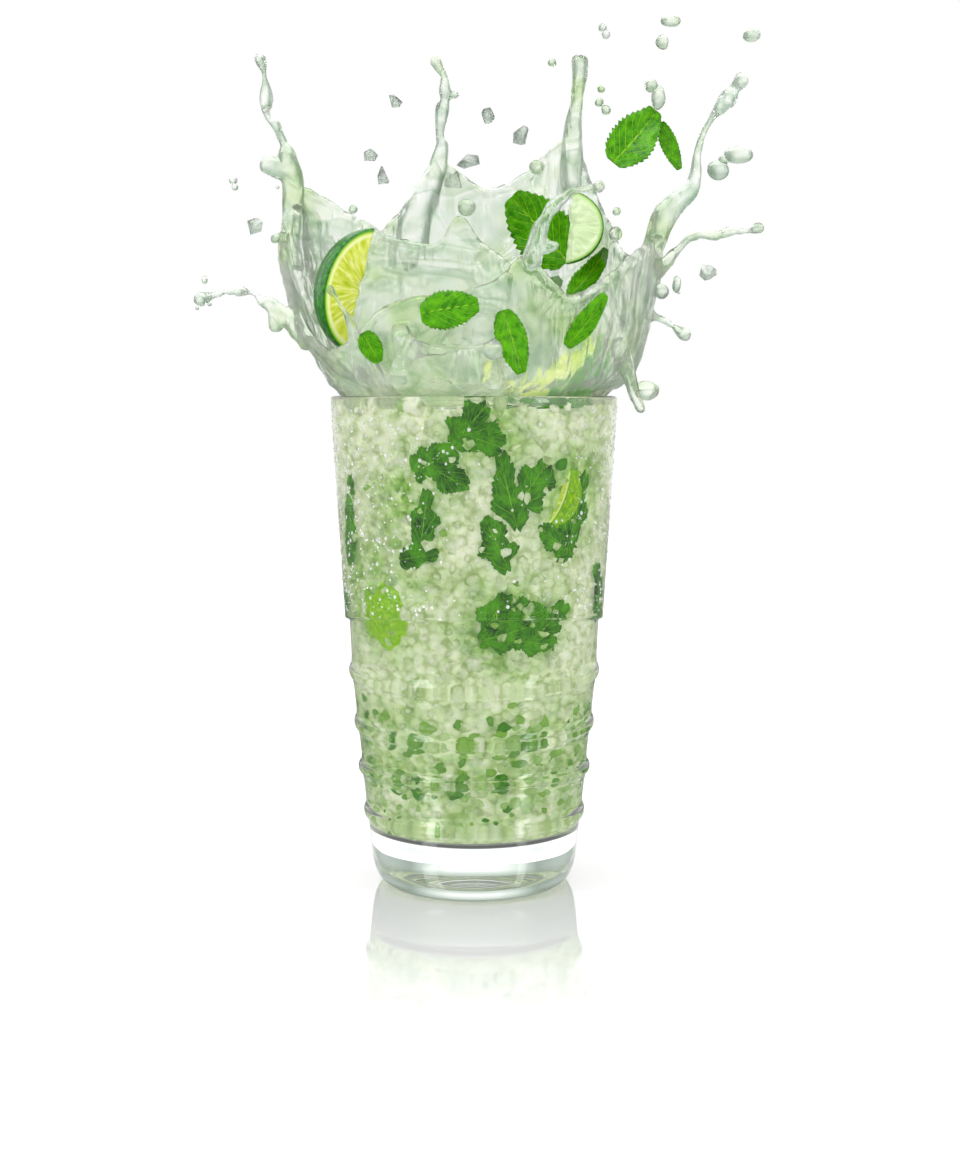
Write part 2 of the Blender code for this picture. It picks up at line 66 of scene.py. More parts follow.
def above_rim(x, y, height):
    """A place in metres, from millimetres with the height counted from the rim."""
    return Vector((x, y, RIM_H + height)) * MM


print("rim height in mm:", round(RIM_H, 1))

# %% [markdown]
# Every finish is a small node tree. One function turns the sRGB hex colours into the linear
# values of a shader. One function adds a node with its settings and links, and one fills the
# inputs of a node, whatever its kind. Colours are mixed in one of two ways.

# %% Helpers for finishes
MIXED = {"data_type": "RGBA"}
MULTIPLIED = {"data_type": "RGBA", "blend_type": "MULTIPLY"}


def linear(hex_text):
    """Linear red, green, blue and alpha of an sRGB hex colour."""
    parts = [int(hex_text[i : i + 2], 16) / 255 for i in (1, 3, 5)]
    return (*[p / 12.92 if p <= 0.04045 else ((p + 0.055) / 1.055) ** 2.4 for p in parts], 1.0)


def feed(tree, node, inputs):
    """Fills inputs, in order or by name, from values, sockets or nodes with their first live output."""
    by_key = inputs if isinstance(inputs, dict) else dict(enumerate(inputs))
    for key, source in by_key.items():
        if isinstance(source, bpy.types.Node):
            source = next(socket for socket in source.outputs if socket.enabled)
        if isinstance(source, bpy.types.NodeSocket):
            tree.links.new(source, node.inputs[key])
        else:
            node.inputs[key].default_value = source


def add_node(tree, kind, inputs=(), stops=(), **settings):
    """Adds a node with its settings and links; stops are the places and colours of a ramp."""
    made = tree.nodes.new("ShaderNode" + kind)
    for name, value in settings.items():
        setattr(made, name, value)
    feed(tree, made, inputs)
    for _ in stops[2:]:
        made.color_ramp.elements.new(0.5)
    for stop, (place, colour) in enumerate(stops):
        made.color_ramp.elements[stop].position = place
        made.color_ramp.elements[stop].color = linear(colour)
    return made


def new_finish(name, **values):
    """A material with one Principled shader; values are its sockets, with _ for a space."""
    made = bpy.data.materials.new(name)
    made.use_nodes = True
    shader = made.node_tree.nodes["Principled BSDF"]
    feed(made.node_tree, shader, {key.replace("_", " "): value for key, value in values.items()})
    print("finish:", name)
    return made, made.node_tree, shader


WHITE = linear("#FFFFFF")
print("helpers ready")

# %% [markdown]
# A finished piece keeps its place in its mesh. Each one rides on the only body and hides the
# CAD solids it replaces.

# %% Helper for pieces


def mesh_object(shape, name):
    """A new object in the scene from a bmesh or a mesh."""
    mesh = as_mesh(shape, name) if isinstance(shape, bmesh.types.BMesh) else shape
    obj = bpy.data.objects.new(name, mesh)
    bpy.context.scene.collection.objects.link(obj)
    print("made", name, "with", len(mesh.vertices), "points")
    return obj


def as_mesh(bm, name):
    mesh = bpy.data.meshes.new(name)
    bm.to_mesh(mesh)
    bm.free()
    return mesh


def ball_mesh(subdivisions):
    """A small round ball of radius 1, to copy."""
    bm = bmesh.new()
    bmesh.ops.create_icosphere(bm, subdivisions=subdivisions, radius=1.0)
    return as_mesh(bm, "ball")


def strew(name, samples, picks, places):
    """One mesh of many copies: picks chooses a sample for each, places holds its 4 x 4 matrix."""
    corners, faces, first = [], [], 0
    shapes = [
        (np.array([(*v.co, 1.0) for v in s.vertices]), np.array([f.vertices[:] for f in s.polygons]))
        for s in samples
    ]
    for pick, place in zip(picks, places):
        points, sides = shapes[pick]
        corners.append((points @ np.array(place).T)[:, :3])
        faces.append(sides + first)
        first += len(points)
    mesh = bpy.data.meshes.new(name)
    mesh.from_pydata(np.concatenate(corners), [], np.concatenate(faces))
    return mesh


def push_out(mesh, amount_of):
    """Moves each point along its normal, by amount_of(index, place in millimetres) millimetres."""
    places = np.empty(len(mesh.vertices) * 3)
    normals = np.empty(len(mesh.vertices) * 3)
    mesh.vertices.foreach_get("co", places)
    mesh.vertices.foreach_get("normal", normals)
    amounts = [amount_of(index, Vector(place) / MM) for index, place in enumerate(places.reshape(-1, 3))]
    mesh.vertices.foreach_set("co", places + normals * np.repeat(amounts, 3) * MM)


def settle(obj):
    """Applies the object's modifiers to its mesh."""
    bpy.context.view_layer.update()
    graph = bpy.context.evaluated_depsgraph_get()
    mesh = bpy.data.meshes.new_from_object(obj.evaluated_get(graph))
    obj.modifiers.clear()
    obj.data = mesh
    return obj


def keep(obj, finish, nodes=(), smooth=True):
    """Gives a finished piece its finish and its place in the table."""
    obj.data.materials.clear()
    obj.data.materials.append(finish)
    if smooth:
        obj.data.shade_smooth()
    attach(obj, "root")
    if nodes:
        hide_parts(*nodes)
    triangles = sum(len(face.vertices) - 2 for face in obj.data.polygons)
    print(obj.name, "triangles:", triangles)
    return obj


# %% [markdown]
# ## The glass
# The glass is pressed soda-lime glass: a smooth flared upper half, a step, then four moulded
# rings and a thick clear foot. It is a turned shape, so its half outline is spun once round.
# Corner cutting rounds the outline the way fire polishing rounds the real edges.

# %% Glass outline
OUTER_PROFILE = [
    (41.4, 148.0), (42.5, 148.0), (43.0, 147.2), (42.6, 141.0),
    (39.2, 83.2), (39.2, 81.4), (38.9, 80.8), (37.8, 80.5), (37.7, 79.5), (37.15, 67.2),
    (38.1, 66.6), (38.0, 64.3), (36.9, 63.6), (35.65, 51.4),
    (36.6, 50.8), (36.5, 48.5), (35.2, 47.7), (34.2, 37.4),
    (35.4, 36.8), (35.3, 34.5), (34.0, 33.7), (32.9, 24.0),
    (33.8, 23.4), (33.7, 20.9), (32.4, 19.9), (31.8, 14.6),
    (31.3, 9.0), (30.6, 5.0), (29.4, 2.2), (27.2, 0.4), (26.0, 0.0),
]
INNER_PROFILE = [
    (20.0, 16.0), (25.5, 16.8), (28.1, 18.6), (29.2, 22.0), (35.2, 80.0), (40.9, 146.4), (41.0, 147.4),
]
FLOOR_H = 16.0
RING_TILT = [(0, 0), (21, 0), (34, 1.2), (47, -1.5), (65, -2.3), (81, 4.5), (112, 0), (150, 0)]
GLASS_STEPS = 144


def soften(points, rounds=2):
    """Cuts the corners of an open outline, which keeps its two ends."""
    for _ in range(rounds):
        cut = [points[0]]
        for (r0, z0), (r1, z1) in zip(points, points[1:]):
            cut.append((0.75 * r0 + 0.25 * r1, 0.75 * z0 + 0.25 * z1))
            cut.append((0.25 * r0 + 0.75 * r1, 0.25 * z0 + 0.75 * z1))
        points = cut + [points[-1]]
    return points


def spun(outline, steps):
    """A bmesh of (radius, height) points in millimetres, spun round Z."""
    bm = bmesh.new()
    points = [bm.verts.new((radius * MM, 0, height * MM)) for radius, height in outline]
    edges = [bm.edges.new(pair) for pair in zip(points, points[1:])]
    bmesh.ops.spin(
        bm, geom=points + edges, cent=(0, 0, 0), axis=(0, 0, 1),
        angle=2 * math.pi, steps=steps, use_merge=True,
    )
    bmesh.ops.remove_doubles(bm, verts=bm.verts, dist=0.001 * MM)
    bmesh.ops.recalc_face_normals(bm, faces=bm.faces)
    return bm


def inner_radius(height):
    """The inside radius of the glass at a height above the table, in millimetres."""
    return float(np.interp(height, [h for _, h in INNER_PROFILE], [r for r, _ in INNER_PROFILE]))


step_radius, step_height = OUTER_PROFILE[4]
print("the wall is", round(step_radius - inner_radius(step_height), 1), "mm thick at its step")

# %% [markdown]
# The moulded rings of the photographed glass don't lie quite level. After the spin, each point of
# the outside is raised on one side and lowered on the other, by an amount set for its height.

# %% Turn the glass
glass_mesh = spun(
    [(0.0, FLOOR_H)] + soften(INNER_PROFILE + OUTER_PROFILE, 1) + [(0.0, 0.0)], GLASS_STEPS
)
for vertex in glass_mesh.verts:
    radius = math.hypot(vertex.co.x, vertex.co.y)
    if radius > (inner_radius(vertex.co.z / MM) + 0.5) * MM:
        lean = np.interp(vertex.co.z / MM, *zip(*RING_TILT))
        vertex.co.z -= lean * MM * vertex.co.y / radius
glass = mesh_object(glass_mesh, "pressed_glass")

# %% [markdown]
# Pressed soda-lime glass has an index of about 1.5 and a faint grey-green body. The cold drink
# mists it: fine condensation blurs the left side and a strip on the right, and leaves the
# middle clear. Roughness follows that mist, from noise as fine as the droplets. The thick foot
# glows a little, for the light that bounces about inside it for longer than is worth tracing.

# %% Finish: misted soda-lime glass
glass_finish, tree, shader = new_finish(
    "misted_soda_lime_glass", Base_Color=linear("#FCFEFD"), Transmission_Weight=1.0, IOR=1.5, Roughness=0.0
)
place = add_node(tree, "TexCoord").outputs["Object"]
axes = add_node(tree, "SeparateXYZ", [place]).outputs
left_mist = add_node(tree, "MapRange", [axes["X"], -6 * MM, -30 * MM, 0.0, 0.75])
right_mist = add_node(tree, "MapRange", [axes["X"], 27 * MM, 38 * MM, 0.0, 0.6])
above_foot = add_node(tree, "MapRange", [axes["Z"], 18 * MM, 40 * MM])
mist = add_node(tree, "Math", [left_mist, right_mist], operation="MAXIMUM")
patches = add_node(tree, "TexNoise", {"Vector": place, "Scale": 1 / (14 * MM), "Detail": 2.0})
droplets = add_node(tree, "TexNoise", {"Vector": place, "Scale": 1 / (0.9 * MM), "Detail": 1.0})
for share in (above_foot, patches, droplets):
    mist = add_node(tree, "Math", [mist, share], operation="MULTIPLY")
foot_light = add_node(tree, "MapRange", [axes["Z"], 14 * MM, 19 * MM, 0.08, 0.0])
feed(tree, shader, {"Roughness": mist, "Emission Strength": foot_light})
keep(glass, glass_finish, ["glass"])

# %% [markdown]
# ## The drink in the glass
# The drink fills the glass to the rim, with a dished top. Its skin reaches 0.2 mm into the
# wall, so that no film of air shows between drink and glass.

# %% Drink body
INTO_WALL = 0.2
DRINK_TOP = [(0.0, -6.0), (18.0, -5.2), (30.0, -1.5), (36.0, 0.4), (39.6, 0.2), (40.7, -0.9)]
body_outline = [(radius, RIM_H + height) for radius, height in DRINK_TOP]
body_outline += [(radius + INTO_WALL, height) for radius, height in reversed(INNER_PROFILE[2:-1])]
body_outline += [(radius, height - INTO_WALL) for radius, height in reversed(INNER_PROFILE[:2])]
drink_mesh = spun(soften(body_outline, 2) + [(0.0, FLOOR_H - INTO_WALL)], GLASS_STEPS)
drink = mesh_object(drink_mesh, "drink_in_glass")

# %% [markdown]
# The drink is mostly water with lime juice and a little sugar, so its index is that of water.
# In the glass it is clear, with a faint green body.

# %% Finish: clear iced drink
drink_finish, tree, shader = new_finish(
    "clear_lime_drink", Base_Color=linear("#FCFEF9"), Transmission_Weight=1.0, IOR=1.333, Roughness=0.0
)
place = add_node(tree, "TexCoord").outputs["Object"]
swell = add_node(tree, "TexNoise", {"Vector": place, "Scale": 1 / (6 * MM), "Detail": 2.0})
feed(tree, shader, {"Normal": add_node(tree, "Bump", {"Height": swell, "Distance": 0.15 * MM})})
keep(drink, drink_finish, ["drink"])

# %% [markdown]
# ## Crushed ice
# Crushed ice fills the glass from wall to wall. Only the outer few millimetres can be seen, so
# a lumpy core stands for the middle of the heap, and loose chips are packed round it.

# %% Ice core
CORE_INSET = [(18, 1.3), (30, 3.4)]
core_outline = [(0.0, RIM_H - 8.0), (20.0, RIM_H - 7.5), (30.0, RIM_H - 4.5), (35.0, RIM_H - 4.0)]
core_outline += [
    (inner_radius(height) - np.interp(height, *zip(*CORE_INSET)), height)
    for height in np.linspace(RIM_H - 6, FLOOR_H + 2, 90)
]
core_mesh = spun(core_outline + [(22.0, FLOOR_H + 1.2), (10.0, FLOOR_H + 0.8), (0.0, FLOOR_H + 0.8)], 128)
for vertex in core_mesh.verts:
    lumps = noise.noise(vertex.co / (5.0 * MM)) + 0.4 * noise.noise(vertex.co / (2.0 * MM))
    room = float(np.interp(vertex.co.z / MM, [18, 30], [0.4, 1.2]))
    vertex.co += Vector((vertex.co.x, vertex.co.y, 0)).normalized() * lumps * room * MM
core = mesh_object(core_mesh, "ice_core")

# %% [markdown]
# Wet crushed ice is pale grey-green with a creamy light in it. Its colour drifts from place to
# place as the chips hold more or less air. Green light spreads through it from the lime and
# the mint, so soft green clouds are set where they lie. Rounded cells stand for the packed
# grains, with painted shade darkening the gaps between them, and the ice glows a little, for
# the light that would wander on inside it.

# %% Finish: packed crushed ice
# Green clouds: centre and reach in millimetres
CLOUDS = [
    ((-27, -20, 90), 33), ((-16, -30, 120), 23), ((27, -24, 120), 26), ((10, -32, 82), 30),
    ((4, -36, 136), 20), ((-5, 30, 100), 36), ((30, 16, 92), 30), ((0, 0, 38), 62),
]

PALE_ICE = [(0.30, "#CAD6A6"), (0.43, "#E0E6CA"), (0.56, "#F2F2E2"), (0.70, "#DEE2CA")]
GREEN_ICE = [(0.34, "#5F9A16"), (0.5, "#8DBE40"), (0.64, "#BFD88A")]
# Painted shade in the gaps between grains, darkest at the edge of each cell
GRAIN_GAP_SHADE = [(0.20, "#FFFFFF"), (0.55, "#F3F6EA"), (0.82, "#CBD8B2")]
# Size in millimetres, detail and roughness of each noise: air, green, gaps in the green, pits
ICE_NOISES = [(9.0, 4.0, 0.6), (5.0, 3.0, 0.6), (7.0, 3.0, 0.6), (1.1, 3.0, 0.5)]


def ice_finish(name, glow):
    made, tree, shader = new_finish(name, Roughness=0.3, IOR=1.31, Specular_IOR_Level=0.2)
    place = add_node(tree, "TexCoord").outputs["Object"]
    air, tint, gaps, pits = [
        add_node(
            tree, "TexNoise",
            {"Vector": place, "Scale": 1 / (size * MM), "Detail": fine, "Roughness": rough},
        )
        for size, fine, rough in ICE_NOISES
    ]
    pale = add_node(tree, "ValToRGB", [air], PALE_ICE)
    green = add_node(tree, "ValToRGB", [tint], GREEN_ICE)
    stained = 0.0
    for centre, reach in CLOUDS:
        away = add_node(tree, "VectorMath", [place, Vector(centre) * MM], operation="DISTANCE")
        near = add_node(tree, "MapRange", [away, 0.0, reach * MM, 1.0, 0.0], interpolation_type="SMOOTHSTEP")
        stained = add_node(tree, "Math", [stained, near], operation="MAXIMUM")
    broken = add_node(tree, "MapRange", [gaps, 0.30, 0.56])
    stained = add_node(tree, "Math", [stained, broken], operation="MULTIPLY")
    colour = add_node(tree, "Mix", {"Factor": stained, "A": pale, "B": green}, **MIXED)
    grains = add_node(tree, "TexVoronoi", {"Vector": place, "Scale": 1 / (2.6 * MM)})
    # Painted shade: the colour darkens towards the edge of each cell, in the gaps between grains
    gap_shade = add_node(tree, "ValToRGB", [grains], GRAIN_GAP_SHADE)
    colour = add_node(tree, "Mix", {"Factor": 1.0, "A": colour, "B": gap_shade}, **MULTIPLIED)
    dents = add_node(tree, "Bump", {"Height": pits, "Distance": 0.5 * MM, "Strength": 0.8})
    feed(tree, shader, {"Base Color": colour, "Normal": dents})
    feed(tree, shader, {"Emission Color": colour, "Emission Strength": glow})
    return made


packed_ice = ice_finish("packed_crushed_ice", 0.32)
keep(core, packed_ice)

# %% [markdown]
# Thousands of loose chips lie round the core, each a few millimetres across. A few rough shapes
# are made once, then copied with a turn, a stretch and a seat near the wall. Between the moulded
# rings about half of the chips are green, with lime juice and bits of leaf.

# %% Loose chips of crushed ice
CHIP_COUNT = 2600
CHIP_SEED = 11
GREEN_TINTS = ["#A4C878", "#8CBA50", "#6FA440", "#4C8E20", "#BCD494"]
GREEN_ZONE = (20.0, 56.0)
GREEN_SHARE = 0.5
STRAY_SHARE = 0.02
CHIP_SHAPES = 24


def rough_chips(rng):
    """A few broken shapes, each a small ball with its points pushed about."""
    shapes = []
    for _ in range(CHIP_SHAPES):
        bm = bmesh.new()
        bmesh.ops.create_icosphere(bm, subdivisions=1, radius=1.0)
        for vertex in bm.verts:
            vertex.co += Vector(rng.normal(size=3)) * 0.16
        shapes.append(as_mesh(bm, "chip"))
    return shapes


chip_rng = np.random.default_rng(CHIP_SEED)
chip_shapes = rough_chips(chip_rng)
pale_places, green_places, green_tints = [], [], []
for _ in range(CHIP_COUNT):
    size = chip_rng.uniform(1.0, 2.8)
    height = chip_rng.uniform(FLOOR_H + 3, RIM_H - 2.5)
    radius = inner_radius(height) - size - chip_rng.uniform(0.4, 2.8)
    angle = chip_rng.uniform(0, 2 * math.pi)
    stretch = Matrix.Diagonal((*(size * MM * chip_rng.uniform(0.7, 1.15, 3)), 1))
    turn = Matrix.Rotation(chip_rng.uniform(0, math.pi), 4, Vector(chip_rng.normal(size=3)).normalized())
    seat = Vector((radius * math.cos(angle), radius * math.sin(angle), height)) * MM
    if chip_rng.random() < (GREEN_SHARE if GREEN_ZONE[0] < height < GREEN_ZONE[1] else STRAY_SHARE):
        green_places.append(Matrix.Translation(seat) @ turn @ stretch)
        green_tints.append(linear(chip_rng.choice(GREEN_TINTS)))
    else:
        pale_places.append(Matrix.Translation(seat) @ turn @ stretch)
pale_picks = chip_rng.integers(0, CHIP_SHAPES, len(pale_places))
green_picks = chip_rng.integers(0, CHIP_SHAPES, len(green_places))
pale_chips = mesh_object(strew("crushed_ice", chip_shapes, pale_picks, pale_places), "crushed_ice")
keep(pale_chips, ice_finish("wet_crushed_ice", 0.3))

# %% [markdown]
# The green chips are ice that is stained through, each in a green of its own. That green is
# stored on the points of the mesh, and the finish reads it there. The chips also glow a little
# in that green, a painted glow.

# %% Green chips low in the glass
green_chips = mesh_object(strew("green_chips", chip_shapes, green_picks, green_places), "green_chips")
tint = green_chips.data.attributes.new("tint", "FLOAT_COLOR", "POINT")
corners_each = len(green_chips.data.vertices) // len(green_places)
tint.data.foreach_set("color", np.repeat(green_tints, corners_each, axis=0).ravel())
green_finish, tree, shader = new_finish("lime_stained_ice", Roughness=0.25, IOR=1.31, Specular_IOR_Level=0.3)
own_green = add_node(tree, "Attribute", attribute_name="tint")
place = add_node(tree, "TexCoord").outputs["Object"]
pits = add_node(tree, "TexNoise", {"Vector": place, "Scale": 1 / (0.8 * MM), "Detail": 2.0})
dents = add_node(tree, "Bump", {"Height": pits, "Distance": 0.2 * MM})
feed(tree, shader, {"Base Color": own_green, "Normal": dents})
# Painted glow: the chips shine a little in their own green
feed(tree, shader, {"Emission Color": own_green, "Emission Strength": 0.2})
keep(green_chips, green_finish)

# %% [markdown]
# ## Mint leaves
# A mint leaf is a pointed oval with a toothed edge. Its side veins are sunk, and the blade
# puffs up between them. A grid is narrowed to that outline and lifted by a rule, then given
# its thickness. The leaf's own map, across and along, carries the veins in its finish.

# %% Leaf maker
LEAF_THICK = 0.45
TEETH = 13
VEINS = 7.0


def leaf_spread(share):
    """Half width of a leaf at a share of its length, from stalk to tip."""
    return 0.16 + 0.84 * math.sin(math.pi * min(1.0, 0.06 + 0.9 * share ** 0.85)) ** 0.8


def leaf_blade(length, width, place_of, seed, ragged=0.0, cells=(16, 60)):
    """One leaf; place_of(across, along, lift) puts a point of the flat leaf in space, in millimetres."""
    bm = bmesh.new()
    layer = bm.loops.layers.uv.verify()
    made = bmesh.ops.create_grid(bm, x_segments=cells[0], y_segments=cells[1], size=0.5)
    flat = {}
    for vertex in made["verts"]:
        u, v = vertex.co.x + 0.5, vertex.co.y + 0.5
        flat[vertex] = (u, v)
        side = abs(2 * u - 1)
        teeth = 1 + 0.17 * side**6 * (((v * TEETH) % 1) - 0.5)
        puff = abs(math.sin(math.pi * VEINS * (v - 0.42 * side))) * (1 - side ** 3)
        ruck = noise.noise(Vector((u * 3 + seed, v * 3, seed)))
        lift = 0.045 * width * puff * 0.6 + 0.10 * width * side * ruck - 0.03 * width * (1 - side) ** 6
        torn = 1 + ragged * noise.noise(Vector((3 * u + seed, 4.5 * v, 2 * seed)))
        across = (u - 0.5) * leaf_spread(v) * width * teeth * torn
        vertex.co = place_of(across, (v - 0.5) * length * (1 + 0.3 * (torn - 1)), lift) * MM
    for face in bm.faces:
        for loop in face.loops:
            loop[layer].uv = flat[loop.vert]
    bmesh.ops.solidify(bm, geom=bm.faces[:], thickness=LEAF_THICK * MM)
    return as_mesh(bm, "blade")


widest = max(range(101), key=lambda percent: leaf_spread(percent / 100))
print("a leaf is widest at", widest, "% of its length")

# %% [markdown]
# Mint is a matt, slightly hairy leaf that the drink makes glossy. The midrib and the side veins
# are paler than the blade, and the blade goes from deep to yellow green. The leaf also glows a
# little in its own colour, a painted glow.

# %% Finish: wet mint leaf


def mint_finish(name, deep, fresh, vein, wet, glow, mottle_mm):
    made, tree, shader = new_finish(
        name, Roughness=0.4, IOR=1.4, Specular_IOR_Level=0.1, Coat_Weight=wet, Coat_Roughness=0.12
    )
    coords = add_node(tree, "TexCoord").outputs
    uv = add_node(tree, "SeparateXYZ", [coords["UV"]]).outputs
    sway, mottle, cells = [
        add_node(
            tree, "TexNoise",
            {"Vector": coords["Object"], "Scale": 1 / (size * MM), "Detail": fine, "Roughness": rough},
        )
        for size, fine, rough in [(3.0, 2.0, 0.5), (mottle_mm, 4.0, 0.65), (0.5, 2.0, 0.5)]
    ]
    side = add_node(tree, "Math", [uv["X"], 0.5], operation="SUBTRACT")
    side = add_node(tree, "Math", [side], operation="ABSOLUTE")
    slant = add_node(tree, "Math", [side, -0.84, uv["Y"]], operation="MULTIPLY_ADD")
    slant = add_node(tree, "Math", [sway, 0.05, slant], operation="MULTIPLY_ADD")
    wave = add_node(tree, "Math", [slant, math.pi * VEINS], operation="MULTIPLY")
    wave = add_node(tree, "Math", [wave], operation="SINE")
    wave = add_node(tree, "Math", [wave], operation="ABSOLUTE")
    off_vein = add_node(tree, "MapRange", [wave, 0.0, 0.28])
    off_midrib = add_node(tree, "MapRange", [side, 0.004, 0.03])
    blade = add_node(tree, "Math", [off_vein, off_midrib], operation="MINIMUM")
    green = add_node(tree, "ValToRGB", [mottle], [(0.32, deep), (0.66, fresh)])
    colour = add_node(tree, "Mix", {"Factor": blade, "A": linear(vein), "B": green}, **MIXED)
    relief = add_node(tree, "Math", [cells, 0.35, blade], operation="MULTIPLY_ADD")
    dents = add_node(tree, "Bump", {"Height": relief, "Distance": 0.25 * MM, "Strength": 0.8})
    feed(tree, shader, {"Base Color": colour, "Normal": dents})
    # Painted glow: the leaf shines a little in its own colour, as strongly as glow says
    feed(tree, shader, {"Emission Color": colour, "Emission Strength": glow})
    return made


leaf_finish = mint_finish("wet_mint_leaf", "#1E6600", "#56A400", "#8AC22C", 0.2, 0.07, 2.2)

# %% [markdown]
# Nine leaves fly with the drink, two of them as a sprig. Each is placed by its centre, by the
# way its tip points and by the way its upper face looks, and then it curls.

# %% The leaves thrown up by the drink
# Each leaf: centre, the way the tip points, the way the upper face looks, length, width, curl
LEAVES = {
    "mint_leaf_back": ((21, 36, 53), (-0.6, 0.1, 0.7), (-0.45, -0.85, 0.1), 27, 19, 0.20),
    "mint_leaf_right": ((36, 25.5, 38), (0.62, 0.1, 0.78), (-0.6, -0.75, 0.1), 19, 8, 0.25),
    "mint_leaf_right_low": ((24, 36.5, 34), (0.7, 0, 0.6), (-0.4, -0.9, 0.1), 10, 7, 0.25),
    "mint_leaf_middle": ((-6.5, -50.2, 23.8), (0.96, 0, 0.16), (0.05, -0.98, 0.25), 16, 10.5, -0.10),
    "mint_leaf_centre": ((10.8, -48.6, 15.0), (0.3, 0, -0.95), (0.25, -0.95, 0.15), 17.5, 8.5, -0.15),
    "mint_leaf_small": ((-28.4, -40.8, 13.6), (0.5, 0, -0.86), (-0.5, -0.85, 0.1), 9, 6.8, -0.10),
    "mint_leaf_front_right": ((31.8, -37.9, 21), (0.6, 0.1, 0.78), (0.6, -0.78, 0), 18, 6.5, -0.2),
    "mint_sprig_leaf": ((47.5, -6, 75.5), (0.62, -0.1, 0.75), (-0.25, -0.93, 0.3), 19, 14, 0.30),
    "mint_sprig_narrow_leaf": ((57.5, -6, 73), (0.38, -0.1, -0.92), (-0.1, -0.97, 0.2), 14.5, 4.8, 0.3),
}


def leaf_place(centre, tip, upper, length, width, curl):
    """The rule that puts a point of a flat leaf on a leaf in the air."""
    along = Vector(tip).normalized()
    normal = (Vector(upper) - Vector(upper).dot(along) * along).normalized()
    across = normal.cross(along)

    def place(side, reach, lift):
        bend = curl * (side**2 / width + reach**2 / length)
        return along * reach + across * side + normal * (bend + lift) + above_rim(*centre) / MM

    return place


for index, (name, spec) in enumerate(LEAVES.items()):
    blade = leaf_blade(spec[3], spec[4], leaf_place(*spec), seed=index * 1.7)
    keep(mesh_object(blade, name + "_blade"), leaf_finish, [name])

# %% [markdown]
# More mint lies against the inside of the glass, sunk in the ice. Those leaves follow the curve
# of the wall, so their rule bends a flat leaf round the glass, a little in from the wall. They
# have a stronger painted glow than the leaves in the air.

# %% Leaves sunk in the ice
# Each leaf: azimuth in degrees, height above the table, turn of the tip from upright, length, width
SUNK_LEAVES = [
    (-92, 140, 40, 14, 9), (-86, 136, 110, 12, 9), (-107, 130, 60, 13, 10), (-101, 126, 120, 12, 8),
    (-75, 121, -15, 22, 8), (-64, 124, 35, 14, 11), (-80, 107, -25, 17, 8),
    (-40, 114, 15, 24, 8), (-50, 107, -55, 15, 8), (-159, 112, 8, 25, 8), (-112, 113, 10, 17, 7),
    (-115, 103, 80, 12, 7), (-80, 87, 30, 12, 7), (-73, 81, 75, 17, 9), (-62, 78, 100, 17, 10),
    (-52, 83, 50, 15, 10), (-66, 86, 80, 12, 7), (150, 104, -20, 24, 11), (115, 126, 60, 19, 11),
    (80, 96, 15, 24, 13), (62, 118, -40, 20, 10), (40, 84, 80, 22, 12), (15, 108, 20, 21, 10),
    (-12, 90, -25, 18, 9), (100, 70, 100, 19, 10), (175, 84, 70, 18, 9),
]
SUNK_DEPTH = 1.6


def wall_place(azimuth, height, turn):
    """The rule that lays a flat leaf along the inside of the glass."""
    lean = math.radians(turn)

    def place(side, reach, lift):
        around = side * math.cos(lean) + reach * math.sin(lean)
        level = height - side * math.sin(lean) + reach * math.cos(lean)
        radius = inner_radius(level) - SUNK_DEPTH - abs(lift) * 0.6
        angle = math.radians(azimuth) + around / radius
        return Vector((radius * math.cos(angle), radius * math.sin(angle), level))

    return place


sunk_mesh = bmesh.new()
for index, (azimuth, height, turn, length, width) in enumerate(SUNK_LEAVES):
    rule = wall_place(azimuth, height, turn)
    sunk_mesh.from_mesh(leaf_blade(length, width, rule, seed=40 + index * 2.3, ragged=0.75))
# Painted glow of 0.22, stronger than on the leaves in the air
sunk_finish = mint_finish("sunk_mint_leaf", "#084400", "#55A602", "#7CC02A", 0.0, 0.22, 4.5)
keep(mesh_object(sunk_mesh, "mint_in_the_ice"), sunk_finish)

# %% [markdown]
# ## Lime wedges
# A wedge is a stretched ball cut by planes through its core. Its skin is rebuilt as an even
# mesh, which rounds the cut edges and lets the flesh be lumpy. Each point remembers where it
# lies in the whole lime, from 0 at the core to 1 at the rind, and the finish reads that.

# %% Lime maker
# Lime pieces: centre, long axis, the way its rind faces, half length, radius, sector in degrees
LIMES = {
    "lime_wedge_left": ((-30.5, -14, 30), (0.25, 0, 0.97), (-0.985, -0.17, 0), 18.6, 16.0, 62),
    "lime_wedge_front": ((20.6, -15, 9.3), (0.81, 0, 0.59), (0.50, -0.53, -0.69), 19.5, 15.0, 62),
    "lime_wedge_back": ((27.5, 19, 52), (0.1, 0.1, 0.99), (0.9, 0.43, -0.1), 11.5, 12.5, 70),
}
LIME_CORE = 3.0
LIME_VOXEL = 0.4


def even_skin(obj, voxel_mm, rounds):
    """Rebuilds a closed solid as an even mesh, smoothed a little."""
    remesh = obj.modifiers.new("Even", "REMESH")
    remesh.mode = "VOXEL"
    remesh.voxel_size = voxel_mm * MM
    smooth = obj.modifiers.new("Settle", "SMOOTH")
    smooth.factor = 0.5
    smooth.iterations = rounds
    return settle(obj)


